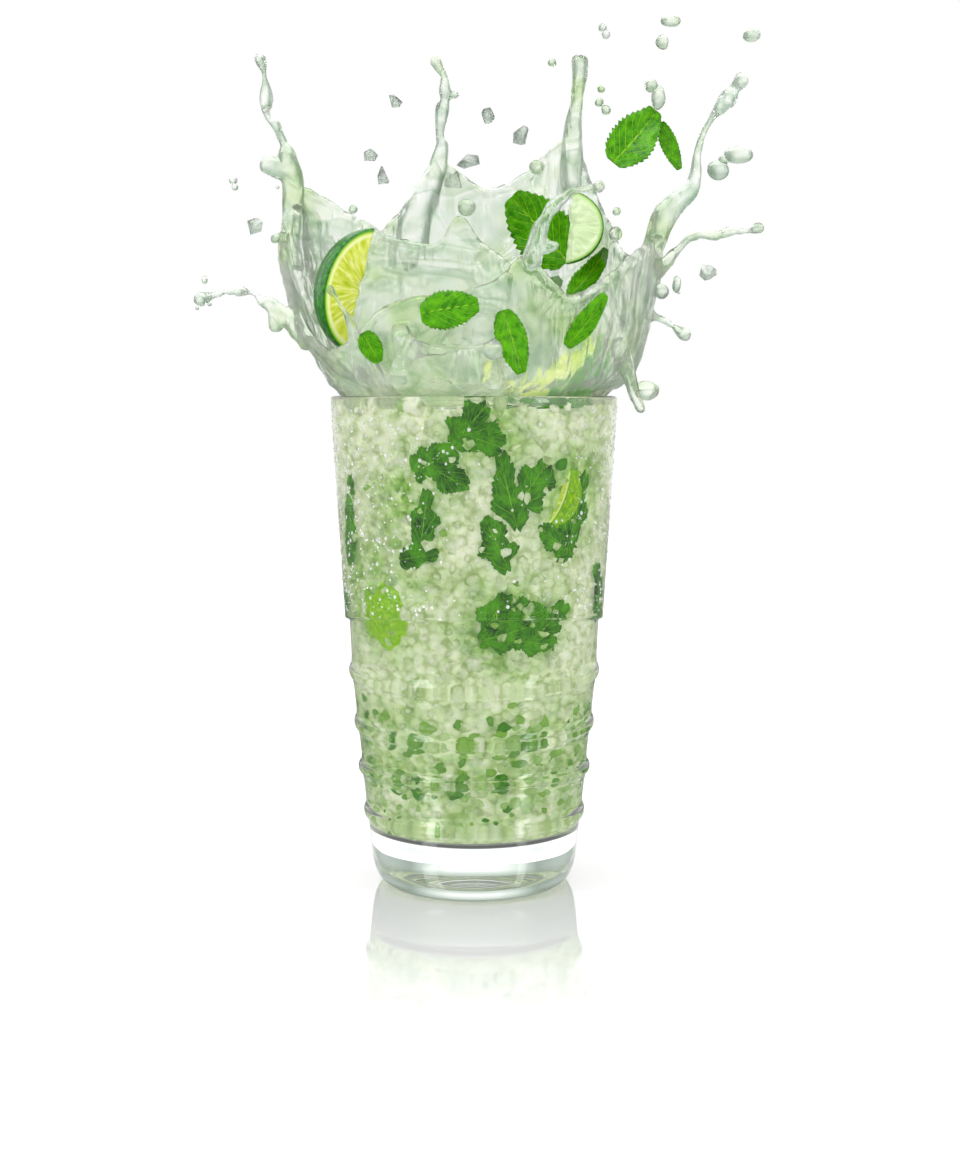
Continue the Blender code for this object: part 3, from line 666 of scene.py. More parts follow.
def lime_wedge(name, centre, axis, faces, half_length, radius, sector):
    bm = bmesh.new()
    bmesh.ops.create_uvsphere(bm, u_segments=96, v_segments=48, radius=1.0)
    size = Vector((radius, radius, half_length)) * MM
    bmesh.ops.scale(bm, vec=size, verts=bm.verts)
    half = math.radians(sector / 2)
    cuts = [
        (Vector((math.sin(half), math.cos(half), 0)), 0.0),
        (Vector((math.sin(half), -math.cos(half), 0)), 0.0),
        (Vector((1, 0, 0)), LIME_CORE * MM),
    ]
    for normal, distance in cuts:
        cut = bmesh.ops.bisect_plane(
            bm, geom=bm.verts[:] + bm.edges[:] + bm.faces[:],
            plane_co=normal * distance, plane_no=normal, clear_inner=True,
        )
        rim = [item for item in cut["geom_cut"] if isinstance(item, bmesh.types.BMEdge)]
        bmesh.ops.edgeloop_fill(bm, edges=rim)
    obj = even_skin(mesh_object(bm, name), LIME_VOXEL, 3)
    within = obj.data.attributes.new("in_lime", "FLOAT_VECTOR", "POINT")
    along = Vector(axis).normalized()
    outward = (Vector(faces) - Vector(faces).dot(along) * along).normalized()
    turn = Matrix((outward, along.cross(outward), along)).transposed().to_4x4()
    place = Matrix.Translation(above_rim(*centre)) @ turn
    shell = np.array([(v.co.x / size.x, v.co.y / size.y, v.co.z / size.z) for v in obj.data.vertices])
    within.data.foreach_set("vector", shell.ravel())
    shares = np.linalg.norm(shell, axis=1)

    def lumps(index, at):
        flesh = min(1.0, max(0.0, (0.9 - shares[index]) * 12))
        lump = 0.30 * noise.noise(Vector((at.x / 5, at.y / 5, at.z / 1.5))) + 0.35 * noise.noise(at / 3.5)
        torn = 3.5 * max(0.0, 0.42 - shares[index]) * noise.noise(at / 2.6)
        return flesh * lump + torn + 0.08 * noise.noise(at / 1.1)

    push_out(obj.data, lumps)
    obj.data.transform(place)
    return obj


print("lime wedges in the splash:", len(LIMES))

# %% [markdown]
# The rind is dark glossy green with oil glands, paler where it meets the pith. The pith is a
# thin pale band. The flesh is pale yellow-green with streaks that run from rind to core, and
# it lets some light through.

# %% Finish: cut lime
FLESH = [(0.34, "#B4C81E"), (0.5, "#D6DF4A"), (0.66, "#EFF29A")]
VEILED = [(0.34, "#CBE0A8"), (0.5, "#D3E6B6"), (0.66, "#DCECC4")]
RIND = [(0.35, "#0A5202"), (0.55, "#1A7405"), (0.72, "#358E10")]
PALE_RIND = [(0.35, "#6FA607"), (0.55, "#86B80C"), (0.72, "#A9CC32")]
PITH = [(0.84, "#DDE86A"), (0.89, "#F1F4BC"), (0.925, "#D2E868"), (0.955, "#62AC0A")]
VEILED_PITH = [(0.84, "#D3E6B4"), (0.90, "#CBE2A6"), (0.955, "#8FBF50")]
# A lighter copy of the rind for the front wedge: painted light, as if more light fell on it
PAINTED_LIT_RIND = [(0.35, "#2F8400"), (0.55, "#4CA20A"), (0.72, "#7CC424")]
# How many streaks the flesh has from core to rind, round the core, and across
STREAKS_ACROSS = (2.6, 13.0, 3.0)


def lime_finish(name, flesh_stops, pith_stops, rind_stops, glow=0.0):
    made, tree, shader = new_finish(
        name, Roughness=0.25, IOR=1.4, Coat_Weight=0.4, Coat_Roughness=0.06
    )
    in_lime = add_node(tree, "Attribute", attribute_name="in_lime").outputs["Vector"]
    share = add_node(tree, "VectorMath", [in_lime], operation="LENGTH")
    parts = add_node(tree, "SeparateXYZ", [in_lime]).outputs
    fan = add_node(tree, "Math", [parts["Z"], share], operation="DIVIDE")
    spokes = add_node(tree, "CombineXYZ", [share, fan, parts["Y"]])
    spokes = add_node(tree, "VectorMath", [spokes, STREAKS_ACROSS], operation="MULTIPLY")
    streaks = add_node(tree, "TexNoise", {"Vector": spokes, "Scale": 1.0, "Detail": 3.0, "Roughness": 0.55})
    place = add_node(tree, "TexCoord").outputs["Object"]
    glands = add_node(tree, "TexNoise", {"Vector": place, "Scale": 1 / (1.3 * MM), "Detail": 3.0})
    flesh = add_node(tree, "ValToRGB", [streaks], flesh_stops)
    layers = add_node(tree, "ValToRGB", [share], pith_stops)
    rind = add_node(tree, "ValToRGB", [glands], rind_stops)
    in_pith = add_node(tree, "MapRange", [share, 0.83, 0.87])
    in_rind = add_node(tree, "MapRange", [share, 0.960, 0.975])
    inside = add_node(tree, "Mix", {"Factor": in_pith, "A": flesh, "B": layers}, **MIXED)
    colour = add_node(tree, "Mix", {"Factor": in_rind, "A": inside, "B": rind}, **MIXED)
    relief = add_node(tree, "Math", [glands, streaks], operation="ADD")
    dents = add_node(tree, "Bump", {"Height": relief, "Distance": 0.4 * MM, "Strength": 0.6})
    feed(tree, shader, {"Base Color": colour, "Normal": dents})
    feed(tree, shader, {"Emission Color": colour, "Emission Strength": glow})
    return made


fresh_lime = lime_finish("cut_lime", FLESH, PITH, RIND)
pale_lime = lime_finish("pale_lime", FLESH, PITH, PALE_RIND, 0.45)
LIME_FINISHES = {
    "lime_wedge_left": fresh_lime,
    # The front wedge gets the lighter rind and a painted glow of 0.2
    "lime_wedge_front": lime_finish("lime_with_painted_light", FLESH, PITH, PAINTED_LIT_RIND, 0.2),
    "lime_wedge_back": lime_finish("lime_under_a_film_of_drink", VEILED, VEILED_PITH, RIND),
}
for name, spec in LIMES.items():
    keep(lime_wedge(name + "_cut", *spec), LIME_FINISHES[name], [name])

# %% [markdown]
# Three larger pieces lie in the ice against the wall. They are paler, because they are seen
# through wet ice, and they glow a little with the light that comes through the drink.

# %% Limes sunk in the ice
# Centre, long axis, the way its rind faces, half length, radius, sector in degrees
SUNK_LIMES = {
    "sunk_lime_left": ((-16.4, -13.9, -62), (0.1, 0, 0.99), (-0.76, -0.65, 0), 16, 13.4, 100),
    "sunk_lime_right": ((17.5, -21, -29), (0.5, 0, 0.86), (0.8, -0.25, -0.5), 14, 11.5, 70),
    "sunk_lime_behind": ((-8, 19, -40), (0.7, 0, 0.7), (-0.3, 0.9, 0.2), 15, 14, 70),
}
for name, spec in SUNK_LIMES.items():
    keep(lime_wedge(name, *spec), pale_lime)

# %% [markdown]
# ## Flung chips of ice
# Nine chips hang in the air. Each is the hull of random points near a ball, with flat facets
# where it broke. Clean ice has an index of 1.31, so it shows mostly by its edges.

# %% Ice chips in the air
ICE_CHIPS = [
    (-24, 40, 93.5, 3.0), (-33, 36, 76, 3.0), (-29, 34, 69.5, 3.0), (-65, 0, 50.5, 2.9),
    (-6.5, 42, 68.5, 3.9), (-2, 43, 75, 3.2), (4, 40, 89, 2.6), (15, 38, 81.5, 3.3), (68, -14, 36, 2.9),
]
ICE_SEED = 7
ICE_POINTS = 18
ICE_SWELL = 1.08


def chip_hull(bm, centre, radius, rng):
    """One broken piece of ice: the hull of random points near a ball."""
    seeds = rng.normal(size=(ICE_POINTS, 3))
    seeds /= np.linalg.norm(seeds, axis=1)[:, None]
    seeds *= rng.uniform(0.6, 1.2, size=(ICE_POINTS, 1)) * rng.uniform(0.75, 1.05, size=3)
    points = [bm.verts.new(Vector(seed) * radius * MM + centre) for seed in seeds]
    hull = bmesh.ops.convex_hull(bm, input=points)
    inside = [item for item in hull["geom_interior"] if isinstance(item, bmesh.types.BMVert)]
    bmesh.ops.delete(bm, geom=inside, context="VERTS")


chip_finish, tree, shader = new_finish(
    "broken_ice", Base_Color=linear("#F6FAF4"), Transmission_Weight=1.0, IOR=1.31, Roughness=0.0
)
place = add_node(tree, "TexCoord").outputs["Object"]
breaks = add_node(
    tree, "TexNoise", {"Vector": place, "Scale": 1 / (1.6 * MM), "Detail": 4.0, "Roughness": 0.6}
)
feed(tree, shader, {"Normal": add_node(tree, "Bump", {"Height": breaks, "Distance": 1.4 * MM})})
for index, (x, y, height, radius) in enumerate(ICE_CHIPS):
    chip_mesh = bmesh.new()
    chip_hull(chip_mesh, above_rim(x, y, height), radius * ICE_SWELL, np.random.default_rng(ICE_SEED + index))
    bmesh.ops.recalc_face_normals(chip_mesh, faces=chip_mesh.faces)
    name = f"ice_chip_{index + 1}"
    keep(mesh_object(chip_mesh, name + "_broken"), chip_finish, [name], smooth=False)

# %% [markdown]
# ## The splash
# The drink leaves the glass as a flaring wall with a ragged beaded edge, a wave inside it, and
# jets that end in drops. A grid is bent to each sheet and thickened, balls are strung along
# each jet, and one skin is drawn over them all, the way surface tension would.

# %% Splash lists
WALL_THICK = 2.1
THINNEST = 0.45
WALL_ROOT = [(-3.0, 37.4), (0.8, 38.6), (3.4, 41.5)]
EDGE_BEAD = 1.5
# The crown wall: (azimuth in degrees from +X, height of its edge, radius at its edge)
CROWN = [
    (0, 42, 54), (14, 40, 51), (26, 44, 50), (36, 56, 49), (45, 72, 48), (52, 80, 48), (58, 78, 48),
    (67, 71, 48), (76, 67, 48), (86, 65, 48), (94, 69, 48), (101, 74, 48), (110, 66, 49),
    (118, 58, 50), (128, 49, 50), (142, 46, 53), (155, 54, 54), (166, 58, 55.5), (174, 50, 57),
    (182, 41, 57), (192, 28, 54.5), (202, 17, 52), (214, 11, 49), (226, 15, 48), (238, 23, 48),
    (250, 26, 48), (266, 27, 47), (278, 30, 47), (288, 38, 47), (296, 31, 47), (304, 26, 47),
    (314, 29, 48), (326, 36, 51), (338, 43, 54), (350, 46, 56),
]
FULLNESS = [(0, 0.38), (20, 0.5), (45, 0.75), (300, 0.75), (325, 0.42)]
# The wave inside the crown: (x, y, height of its edge)
INNER_WAVE = [
    (-52, 12, 62), (-46, 13, 59), (-40, 13, 55), (-34, 12, 52), (-28, 11, 48), (-16, 10, 45),
    (-10, 10, 45.5), (-4.5, 10, 53), (0, 10, 47), (6, 8, 42), (12, 4, 37), (18, -4, 31), (24, -14, 24),
]
WAVE_ROOT = -8.0
WAVE_LEAN = 5.0
WAVE_ROOM = [(-8, 33), (1, 37), (4, 41), (20, 49), (40, 56), (60, 58)]
# Jets, each a run of (x, y, height, radius)
JETS = {
    "left_jet": [
        (-81, -6, 28.5, 2.2), (-77, -7, 29.5, 1.0), (-73, -8, 30.5, 0.9), (-68.5, -10, 30.5, 1.6),
        (-65, -11, 30, 0.9), (-62.5, -12, 28, 1.3), (-59.5, -13, 26.5, 2.1), (-54, -14, 22, 2.6),
        (-49, -14, 16, 2.8),
    ],
    "left_hanging_drop": [(-58.5, -13, 25, 1.8), (-58, -13, 20.5, 2.1)],
    "left_tall": [
        (-65, 14, 101.5, 1.9), (-63.5, 13, 96.5, 0.9), (-63, 12, 89.5, 2.0), (-62.5, 10, 84.5, 1.0),
        (-59.5, 9, 81, 1.7), (-57, 8, 75, 1.4), (-56, 7, 70.5, 3.1), (-54.5, 8, 63.5, 3.5),
        (-55, 10, 54, 3.2), (-56, 10, 40, 2.6),
    ],
    "left_side_bulge": [(-61.5, 7, 69, 2.9), (-56, 7, 67, 3.2)],
    "left_lip": [(-60, 4, 47, 1.4), (-57, 5, 48, 1.7), (-55.5, 7, 54, 2.0)],
    "back_tall": [
        (-12.5, 46, 106.5, 2.1), (-10, 45, 102, 1.1), (-9.5, 45, 97.5, 2.1), (-9.5, 45, 94, 1.5),
        (-10.5, 45, 91, 2.3), (-11, 45, 83.5, 1.5), (-10.5, 45, 79.5, 2.0), (-13, 45, 70.5, 3.6),
        (-18.5, 44, 58, 5.0), (-20.5, 43, 46, 5.2),
    ],
    "back_tall_nub": [(-6, 45, 96, 1.0), (-10, 45, 96, 1.4)],
    "back_right_tall": [
        (33.5, 40, 105.5, 2.6), (33.5, 40, 101, 2.5), (33, 39, 96.5, 2.3), (32.5, 38, 92, 2.2),
        (31.5, 37, 86, 2.8), (31, 36, 78, 3.6), (31, 36, 68, 3.8),
    ],
    "front_jet": [
        (34.5, -40, 57.5, 1.7), (30.5, -41, 56.5, 0.9), (27, -41, 56, 0.9), (23, -42, 52.5, 1.9),
        (20, -43, 49, 1.7), (18, -44, 44, 2.4), (16, -45, 37, 3.0),
    ],
    "front_side_drop": [(22, -43, 41, 1.8), (17.5, -44, 40, 2.0)],
    "right_tall": [
        (78.5, -4, 92, 2.4), (76.5, -5, 90, 1.6), (73.5, -6, 85.5, 2.7), (70, -7, 81.5, 1.1),
        (67.5, -8, 77.5, 1.2), (66, -9, 73, 1.2), (65, -9, 69, 1.3), (64.5, -10, 64.5, 1.8),
        (63, -11, 59.5, 2.7), (58.5, -12, 55.5, 3.5), (55, -12, 51, 3.8), (52.5, -11, 44, 3.4),
    ],
    "right_thin": [
        (82.5, -14, 48.5, 1.7), (79.5, -15, 47.5, 0.9), (74.5, -15, 47.5, 1.5), (70, -16, 46, 1.4),
        (66, -17, 46.5, 1.6), (62.5, -17, 45.5, 1.3), (60, -17, 43, 1.0), (57.5, -16, 40.5, 1.4),
        (53.5, -14, 36, 2.2),
    ],
    "right_side": [(62, -10, 18, 2.1), (59, -11, 20, 0.9), (56.5, -12, 21.5, 1.0), (50.5, -12, 24.5, 1.8)],
    "rim_tongue": [(48, -22, -3.5, 1.5), (46.5, -23, 0, 1.8), (44.5, -24, 6, 2.4), (41.5, -24, 14, 2.8)],
    "front_left_thin": [
        (-40, -36, 29.5, 1.4), (-38.5, -35, 28, 0.9), (-36.5, -35, 24, 1.1), (-34.5, -34, 20, 1.6),
        (-33, -34, 14, 2.1), (-31, -33, 6, 2.6),
    ],
    "front_middle_jet": [
        (5.5, -54, 12.5, 2.9), (1.5, -53, 13, 0.9), (-4, -53, 13, 1.0), (-8, -52, 12.5, 1.4),
        (-12, -51, 12.5, 1.7), (-18, -48, 13, 3.2), (-20, -45, 17, 3.0),
    ],
    "front_middle_drop": [(-20.5, -50, 5, 2.8), (-19, -47, 12, 2.6)],
    "rim_drop": [(5.5, -45.5, 4.5, 3.4), (5.5, -45, 9, 2.4)],
    "left_swell": [(-25, -15, -4, 8), (-32, -16, 5, 7), (-36, -15, 10, 5.5)],
    "middle_swell": [(8, 4, -4, 11), (2, 8, 6, 7), (-3, 10, 16, 4)],
}
print("jets:", len(JETS), "and points round the crown:", len(CROWN))

# %% [markdown]
# Each sheet has a rule that gives the place of a point from its share round and its share up.
# The crown's wall springs from inside the rim, widens as it rises, and waves a little.

# %% Splash shapes


def crown_edge():
    """Height and radius of the crown's edge for each degree, smoothed as liquid would be."""
    degrees = np.arange(360)
    azimuths = [row[0] for row in CROWN]
    soft = np.hanning(7) / np.hanning(7).sum()
    edges = []
    for column in (1, 2):
        values = np.interp(degrees, azimuths, [row[column] for row in CROWN], period=360)
        edges.append(np.convolve(np.concatenate([values[-3:], values, values[:3]]), soft, "valid"))
    return edges


EDGES = crown_edge()


def wall_place_of(share_round, share_up):
    """A point on the crown's wall: it springs from inside the rim and flares out over it."""
    degree = 360 * share_round
    angle = math.radians(degree)
    top = np.interp(degree, range(360), EDGES[0], period=360)
    edge_radius = np.interp(degree, range(360), EDGES[1], period=360)
    height = WALL_ROOT[0][0] + (top - WALL_ROOT[0][0]) * share_up
    lip, lip_radius = WALL_ROOT[-1]
    flare = max(0.0, (height - lip) / (top - lip))
    radius = np.interp(height, *zip(*WALL_ROOT))
    fullness = np.interp(degree, *zip(*FULLNESS), period=360)
    radius += (edge_radius - lip_radius) * flare**fullness
    turned = Vector((math.cos(angle), math.sin(angle), 0))
    grown = min(1.0, flare * 3)
    radius += 0.7 * grown * noise.noise(Vector((3 * turned.x, 3 * turned.y, height / 14)))
    radius += 0.75 * grown * noise.noise(Vector((11 * turned.x, 11 * turned.y, height / 22)))
    return above_rim(radius * turned.x, radius * turned.y, height)


def wave_place_of(share_along, share_up):
    """A point on the wave inside the crown, which leans in towards its root."""
    rows = np.array(INNER_WAVE, float)
    spot = share_along * (len(rows) - 1)
    x, y, top = (np.interp(spot, range(len(rows)), rows[:, column]) for column in range(3))
    height = WAVE_ROOT + (top - WAVE_ROOT) * share_up
    y -= WAVE_LEAN * (1 - share_up)
    room = np.interp(height, *zip(*WAVE_ROOM))
    inward = min(1.0, room / math.hypot(x, y))
    return above_rim(x * inward, y * inward, height)


def sheet_mesh(place_of, cells, closed):
    """A sheet of liquid: a grid bent by its rule, then thickened both ways."""
    bm = bmesh.new()
    bmesh.ops.create_grid(bm, x_segments=cells[0], y_segments=cells[1], size=0.5)
    for vertex in bm.verts:
        vertex.co = place_of(vertex.co.x + 0.5, vertex.co.y + 0.5)
    if closed:
        bmesh.ops.remove_doubles(bm, verts=bm.verts, dist=0.01 * MM)
    bm.normal_update()
    for vertex, outer in [(v, v.co + v.normal * WALL_THICK / 2 * MM) for v in bm.verts]:
        vertex.co = outer
    bmesh.ops.solidify(bm, geom=bm.faces[:], thickness=WALL_THICK * MM)
    bmesh.ops.recalc_face_normals(bm, faces=bm.faces)
    return as_mesh(bm, "sheet")


def soft_run(points, steps=9):
    """Points along a soft curve through a run of (x, y, height, radius)."""
    rows = np.array(points, float)
    padded = np.concatenate([2 * rows[:1] - rows[1:2], rows, 2 * rows[-1:] - rows[-2:-1]])
    for before, start, end, after in zip(padded, padded[1:], padded[2:], padded[3:]):
        for share in np.arange(steps) / steps:
            yield 0.5 * (
                2 * start + (end - before) * share
                + (2 * before - 5 * start + 4 * end - after) * share**2
                + (3 * start - before - 3 * end + after) * share**3
            )
    yield rows[-1]


def run_places(points, steps=9):
    """A jet: the places and sizes of the balls strung along its run."""
    return [
        Matrix.Translation(above_rim(x, y, height)) @ Matrix.Scale(max(radius, THINNEST) * MM, 4)
        for x, y, height, radius in soft_run(points, steps)
    ]


print("crown edge in mm above the rim:", round(min(EDGES[0]), 1), "to", round(max(EDGES[0]), 1))

# %% [markdown]
# A bead runs along every edge, as surface tension leaves it. Sheets, beads and jets go into one
# mesh, and a voxel remesh draws a single skin over all. Fine streaks are pressed into that skin,
# and it is thinned to a number of triangles that a viewer can carry.

# %% Draw one skin over the splash
SPLASH_VOXEL = 0.64
SPLASH_TRIANGLES = 190000
RIPPLE = 0.5
ball_places = run_places([(x, y, top, EDGE_BEAD) for x, y, top in INNER_WAVE], 12)
edge_run = []
for degree in [*range(0, 360, 2), 0]:
    height, radius = EDGES[0][degree], EDGES[1][degree]
    angle = math.radians(degree)
    edge_run.append((radius * math.cos(angle), radius * math.sin(angle), height, EDGE_BEAD))
ball_places += run_places(edge_run, 2)
for run in JETS.values():
    ball_places += run_places(run)
splash_mesh = bmesh.new()
splash_mesh.from_mesh(sheet_mesh(wall_place_of, (360, 40), True))
splash_mesh.from_mesh(sheet_mesh(wave_place_of, (120, 30), False))
splash_mesh.from_mesh(strew("balls", [ball_mesh(2)], [0] * len(ball_places), ball_places))
splash = even_skin(mesh_object(splash_mesh, "splash_crown"), SPLASH_VOXEL, 2)


def ripple_of(index, at):
    """Streaks and soft folds that run up the splash."""
    streak = noise.noise(Vector((at.x / 2.0, at.y / 2.0, at.z / 13)))
    fold = noise.noise(Vector((at.x / 4.5, at.y / 4.5, at.z / 18 + 5)))
    return (streak + 0.8 * fold) * RIPPLE


push_out(splash.data, ripple_of)
thin = splash.modifiers.new("Thin", "DECIMATE")
thin.ratio = SPLASH_TRIANGLES / (2 * len(splash.data.polygons))
settle(splash)
print("splash vertices:", len(splash.data.vertices))

# %% [markdown]
# The churned drink is water full of fine air, so part of the light goes through and part is
# scattered back, milky and faintly green. Fine streaks follow the way the liquid rose, broad
# folds cross them, and wandering bands of painted shade, a deeper green-grey, stand for the
# dark edges of the folds.

# %% Finish: churned drink
MILKY = [(0.28, "#DDEFBE"), (0.42, "#F3F9EA"), (0.56, "#FDFEFB"), (0.72, "#E4F3E2")]
# Painted shade: green-grey bands that stand for the dark edges of folds
FOLD_SHADE_BANDS = [
    (0.34, "#FFFFFF"), (0.42, "#D0DFD0"), (0.45, "#FFFFFF"), (0.53, "#FFFFFF"),
    (0.59, "#DDEAD8"), (0.62, "#FFFFFF"), (0.69, "#D6E4D6"), (0.73, "#FFFFFF"),
]
splash_finish, tree, shader = new_finish(
    "churned_lime_drink", Transmission_Weight=0.84, IOR=1.333, Roughness=0.03
)
place = add_node(tree, "TexCoord").outputs["Object"]
upright = add_node(tree, "Mapping", {"Vector": place, "Scale": (1.0, 1.0, 0.16)})
lean = (0.0, math.radians(35), 0.0)
leaning = add_node(tree, "Mapping", {"Vector": place, "Rotation": lean, "Scale": (0.6, 1.0, 0.9)})
streaks = add_node(
    tree, "TexNoise", {"Vector": upright, "Scale": 1 / (1.1 * MM), "Detail": 3.0, "Roughness": 0.55}
)
folds = add_node(tree, "TexNoise", {"Vector": leaning, "Scale": 1 / (9 * MM), "Detail": 1.0})
air = add_node(tree, "TexNoise", {"Vector": place, "Scale": 1 / (17 * MM), "Detail": 3.0})
fold_shade_noise = add_node(
    tree, "TexNoise", {"Vector": leaning, "Scale": 1 / (19 * MM), "Detail": 1.0, "Distortion": 1.5}
)
milky = add_node(tree, "ValToRGB", [air], MILKY)
# Painted shade of the folds, multiplied over the milky colour
fold_shade = add_node(tree, "ValToRGB", [fold_shade_noise], FOLD_SHADE_BANDS)
colour = add_node(tree, "Mix", {"Factor": 1.0, "A": milky, "B": fold_shade}, **MULTIPLIED)
relief = add_node(tree, "Math", [streaks, 0.09, folds], operation="MULTIPLY_ADD")
dents = add_node(tree, "Bump", {"Height": relief, "Distance": 3.0 * MM, "Strength": 0.9})
feed(tree, shader, {"Base Color": colour, "Normal": dents})
keep(splash, splash_finish, ["drink"])

# %% [markdown]
# ## Drops in the air
# Small drops fly round the crown. Each is a ball, drawn out a little and dented by the air.

# %% Spray
# Each drop: x, y, height above the rim, half width, half height
DROPS = [
    (-72.7, 8, 64.7, 1.23, 1.23), (-72.1, 8, 62.7, 1.07, 1.07), (-80.5, 0, 34.6, 0.91, 1.21),
    (-36.7, 10, 56.3, 1.39, 1.39), (24.7, 38, 104.8, 1.39, 1.39), (40.1, 38, 96.7, 1.29, 1.29),
    (39.5, 38, 92.6, 1.45, 1.45), (41.7, 38, 90.2, 1.55, 1.55), (53.4, 10, 93.0, 2.0, 2.0),
    (55.5, 10, 89.4, 2.2, 3.6), (39.9, 30, 114.0, 1.3, 1.3), (41.0, 30, 112.0, 1.3, 1.3),
    (58.5, 5, 111.0, 3.0, 1.8), (56.1, 5, 104.8, 1.9, 2.2), (81.5, -3, 105.2, 2.6, 2.1),
    (77.4, -8, 70.3, 4.2, 2.7), (73.1, -8, 68.8, 1.6, 1.6), (71.5, -8, 65.8, 3.2, 2.9),
    (42.1, -5, 54.2, 1.29, 1.29), (41.8, -5, 47.7, 2.1, 2.1), (59.3, -12, 32.6, 1.3, 2.5),
    (59.9, -12, 30.1, 0.44, 0.44), (49.8, -22, 1.6, 3.6, 2.8), (19.2, 20, 70.1, 2.3, 2.3),
    (-2.3, 20, 57.8, 2.7, 2.7), (55.2, -8, 30.8, 2.2, 2.2), (-59.3, 8, 62.7, 0.61, 0.61),
    (42.5, 20, 72.4, 0.56, 0.56), (-82.0, -6, 25.8, 0.54, 0.54), (-78.2, -6, 27.0, 0.54, 0.54),
]
DENT = 0.25
drop_places = [
    Matrix.Translation(above_rim(x, y, height)) @ Matrix.Diagonal((wide * MM, 0.9 * wide * MM, tall * MM, 1))
    for x, y, height, wide, tall in DROPS
]
spray_mesh = strew("spray", [ball_mesh(4)], [0] * len(DROPS), drop_places)
push_out(spray_mesh, lambda index, at: DENT * noise.noise(at / 2.4))
keep(mesh_object(spray_mesh, "spray"), splash_finish)

# %% [markdown]
# ## Condensation
# Beads of water sit on the cold outside of the glass, thick on the left and in a strip on the
# right, with few in the middle. Each is a ball squashed against the wall.

# %% Condensation beads
BEADS = 2400
BEAD_SEED = 3
BEAD_ZONE = (84, RIM_H - 3)
OUTER_UPPER = [(height, radius) for radius, height in reversed(OUTER_PROFILE) if height > 14]


def outer_radius(height):
    return float(np.interp(height, *zip(*OUTER_UPPER)))


bead_rng = np.random.default_rng(BEAD_SEED)
bead_places = []
while len(bead_places) < BEADS:
    angle = bead_rng.uniform(0, 2 * math.pi)
    height = bead_rng.uniform(*BEAD_ZONE)
    front = math.sin(angle) < 0
    sideways = math.cos(angle)
    on_the_left = min(1.0, (-sideways - 0.05) * 2.0)
    on_the_right = min(0.8, (sideways - 0.5) * 3.0)
    thick = max(0.08, on_the_left, on_the_right) if front else 1.0
    if bead_rng.random() > thick:
        continue
    size = 0.16 + 0.42 * bead_rng.random() ** 3
    radius = outer_radius(height) + 0.05
    spin = Matrix.Rotation(angle, 4, "Z")
    squash = Matrix.Diagonal((0.45 * size * MM, size * MM, 1.1 * size * MM, 1))
    seat = Matrix.Translation(Vector((radius, 0, height)) * MM)
    bead_places.append(spin @ seat @ squash)
bead_mesh = strew("condensation", [ball_mesh(2)], [0] * BEADS, bead_places)
water_finish, tree, shader = new_finish(
    "condensed_water", Base_Color=WHITE, Transmission_Weight=0.55, IOR=1.2, Roughness=0.0
)
place = add_node(tree, "TexCoord").outputs["Object"]
pull = add_node(tree, "TexNoise", {"Vector": place, "Scale": 1 / (3 * MM), "Detail": 1.0})
feed(tree, shader, {"Normal": add_node(tree, "Bump", {"Height": pull, "Distance": 0.02 * MM})})
keep(mesh_object(bead_mesh, "condensation"), water_finish)

# %% [markdown]
# ## The studio
# The glass stands on a white polished top in a white studio. Seen straight, the studio is
# plain white. Through the glass and the drink it is a bright room with soft grey corners and
# a grey band under its ceiling, and those draw the edges of everything clear. Light that has
# scattered inside the ice counts for more, to make up for what short light paths lose.

# %% World light
WALLS = [(0.30, "#FFFFFF"), (0.55, "#D8E3DA"), (0.80, "#788C7E"), (1.0, "#9AAAA0")]
CEILING = [(0.16, "#FFFFFF"), (0.38, "#B7C8BD"), (0.66, "#C0CEC5"), (0.86, "#FFFFFF")]
world = bpy.data.worlds.new("studio")
bpy.context.scene.world = world
world.use_nodes = True
tree = world.node_tree
tree.nodes.clear()
aim = add_node(tree, "TexCoord").outputs["Generated"]
aim = add_node(tree, "SeparateXYZ", [aim]).outputs
corner = add_node(tree, "Math", [aim["X"], aim["Y"]], operation="MULTIPLY")
corner = add_node(tree, "Math", [corner], operation="ABSOLUTE")
corner = add_node(tree, "Math", [corner, 2.0], operation="MULTIPLY")
walls = add_node(tree, "ValToRGB", [corner], WALLS)
ceiling = add_node(tree, "ValToRGB", [aim["Z"]], CEILING)
room = add_node(tree, "Mix", {"Factor": 1.0, "A": walls, "B": ceiling}, **MULTIPLIED)
# What the path of the light has met before it comes here: matt things, mirrors, clear things
path = add_node(tree, "LightPath").outputs
scattered = add_node(tree, "Math", [path["Diffuse Depth"], 0.0], operation="ADD", use_clamp=True)
mirrored = add_node(tree, "Math", [path["Glossy Depth"], 0.0], operation="ADD", use_clamp=True)
clear_things = [path["Transmission Depth"], path["Is Singular Ray"]]
through = add_node(tree, "Math", clear_things, operation="ADD", use_clamp=True)
through = add_node(tree, "Math", [through, scattered], operation="SUBTRACT", use_clamp=True)
# A mirrored room is darker, so that the glass shines without a veil over the leaves behind it
shade = add_node(tree, "Mix", {"Factor": mirrored, "A": WHITE, "B": linear("#A4ACA7")}, **MIXED)
room = add_node(tree, "Mix", {"Factor": 1.0, "A": room, "B": shade}, **MULTIPLIED)
colour = add_node(tree, "Mix", {"Factor": through, "A": WHITE, "B": room}, **MIXED)
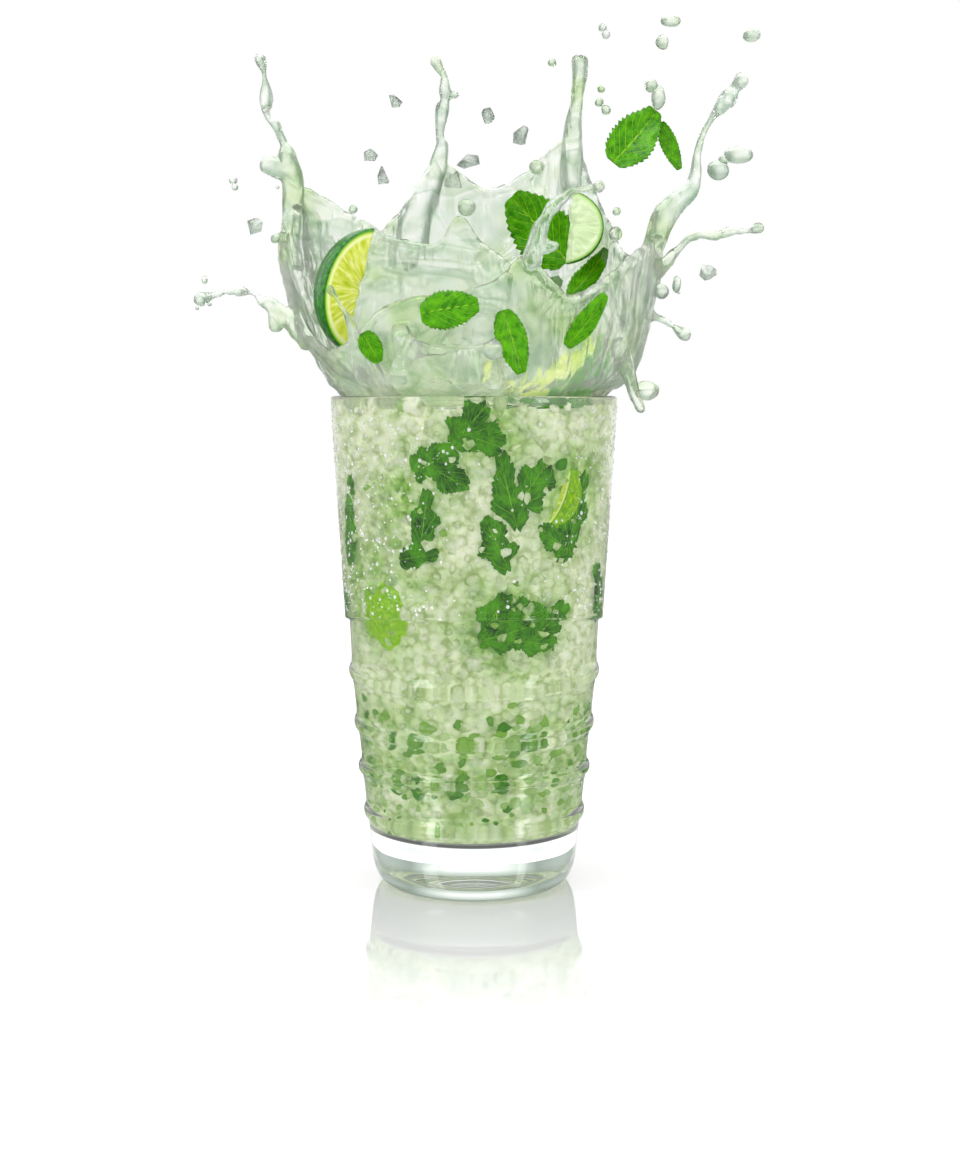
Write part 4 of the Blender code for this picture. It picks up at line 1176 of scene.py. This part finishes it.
# Light that scattered deep in the ice is made stronger
buried = add_node(tree, "Math", [path["Transmission Depth"], 4.5], operation="GREATER_THAN")
buried = add_node(tree, "Math", [buried, scattered], operation="MULTIPLY")
strength = add_node(tree, "Math", [buried, 0.75, 1.0], operation="MULTIPLY_ADD")
background = add_node(tree, "Background", [colour, strength])
add_node(tree, "OutputWorld", {"Surface": background})
print("world nodes:", len(tree.nodes))

# %% [markdown]
# The polished white top mirrors the foot of the glass, and the mirror image fades away from it.
# A matt white and a sharp mirror are mixed by the distance from the middle. Seen in a mirror
# itself, the top is grey, which keeps its own veil off the glass.

# %% Floor
floor_mesh = bmesh.new()
bmesh.ops.create_circle(floor_mesh, cap_ends=True, segments=128, radius=1.6)
floor = mesh_object(floor_mesh, "studio_floor")
floor_finish = bpy.data.materials.new("polished_white_top")
floor_finish.use_nodes = True
tree = floor_finish.node_tree
tree.nodes.clear()
place = add_node(tree, "TexCoord").outputs["Object"]
reach = add_node(tree, "VectorMath", [place], operation="LENGTH")
fading = add_node(tree, "MapRange", [reach, 28 * MM, 210 * MM, 0.58, 0.0], interpolation_type="SMOOTHSTEP")
beyond_foot = add_node(tree, "MapRange", [reach, 25 * MM, 29 * MM])
shine = add_node(tree, "Math", [fading, beyond_foot], operation="MULTIPLY")
mirrored = add_node(tree, "LightPath").outputs["Glossy Depth"]
mirrored = add_node(tree, "Math", [mirrored, 0.0], operation="ADD", use_clamp=True)
whiteness = add_node(tree, "Mix", {"Factor": mirrored, "A": WHITE, "B": linear("#808682")}, **MIXED)
matt = add_node(tree, "BsdfDiffuse", {"Color": whiteness})
mirror = add_node(tree, "BsdfGlossy", {"Color": WHITE, "Roughness": 0.02})
top = add_node(tree, "MixShader", [shine, matt, mirror])
add_node(tree, "OutputMaterial", {"Surface": top})
floor.data.materials.append(floor_finish)

# %% [markdown]
# Three soft boxes light the studio: a key from the left, a fill from the right and a wide one
# above. Each is turned to the middle of the glass. They give the rims and drops their long
# bright lines.

# %% Lamps
MIDDLE = Vector((0, 0, 0.12))


def softbox(name, place, width, height, power):
    lamp = bpy.data.lights.new(name, "AREA")
    lamp.shape = "RECTANGLE"
    lamp.size = width
    lamp.size_y = height
    lamp.energy = power
    obj = bpy.data.objects.new(name, lamp)
    bpy.context.scene.collection.objects.link(obj)
    obj.location = place
    obj.rotation_euler = (MIDDLE - Vector(place)).to_track_quat("-Z", "Y").to_euler()
    print(name, "gives", power, "W")


softbox("key_left", (-0.9, -0.7, 0.9), 0.4, 0.7, 5.0)
softbox("fill_right", (0.9, -0.6, 0.6), 0.2, 0.7, 2.4)
softbox("top", (0.0, 0.1, 1.2), 0.9, 0.9, 4.0)

# %% [markdown]
# ## Camera
# The lens and place come from matching the rim, the rings and the foot with the photograph:
# the camera is a little above half a metre away, level with the rim, tipped down by 5.7 degrees.

# %% Camera
lens = bpy.data.cameras.new("photo_view")
lens.lens = 56.35
lens.sensor_width = 36.0
lens.clip_start = 0.01
camera = bpy.data.objects.new("photo_view", lens)
bpy.context.scene.collection.objects.link(camera)
camera.location = (0.0018, -0.544, 0.148)
camera.rotation_euler = (math.radians(90 - 5.679), 0, 0)
bpy.context.scene.camera = camera
bpy.context.scene.view_settings.view_transform = "Standard"
print("lens in mm:", round(lens.lens, 2))
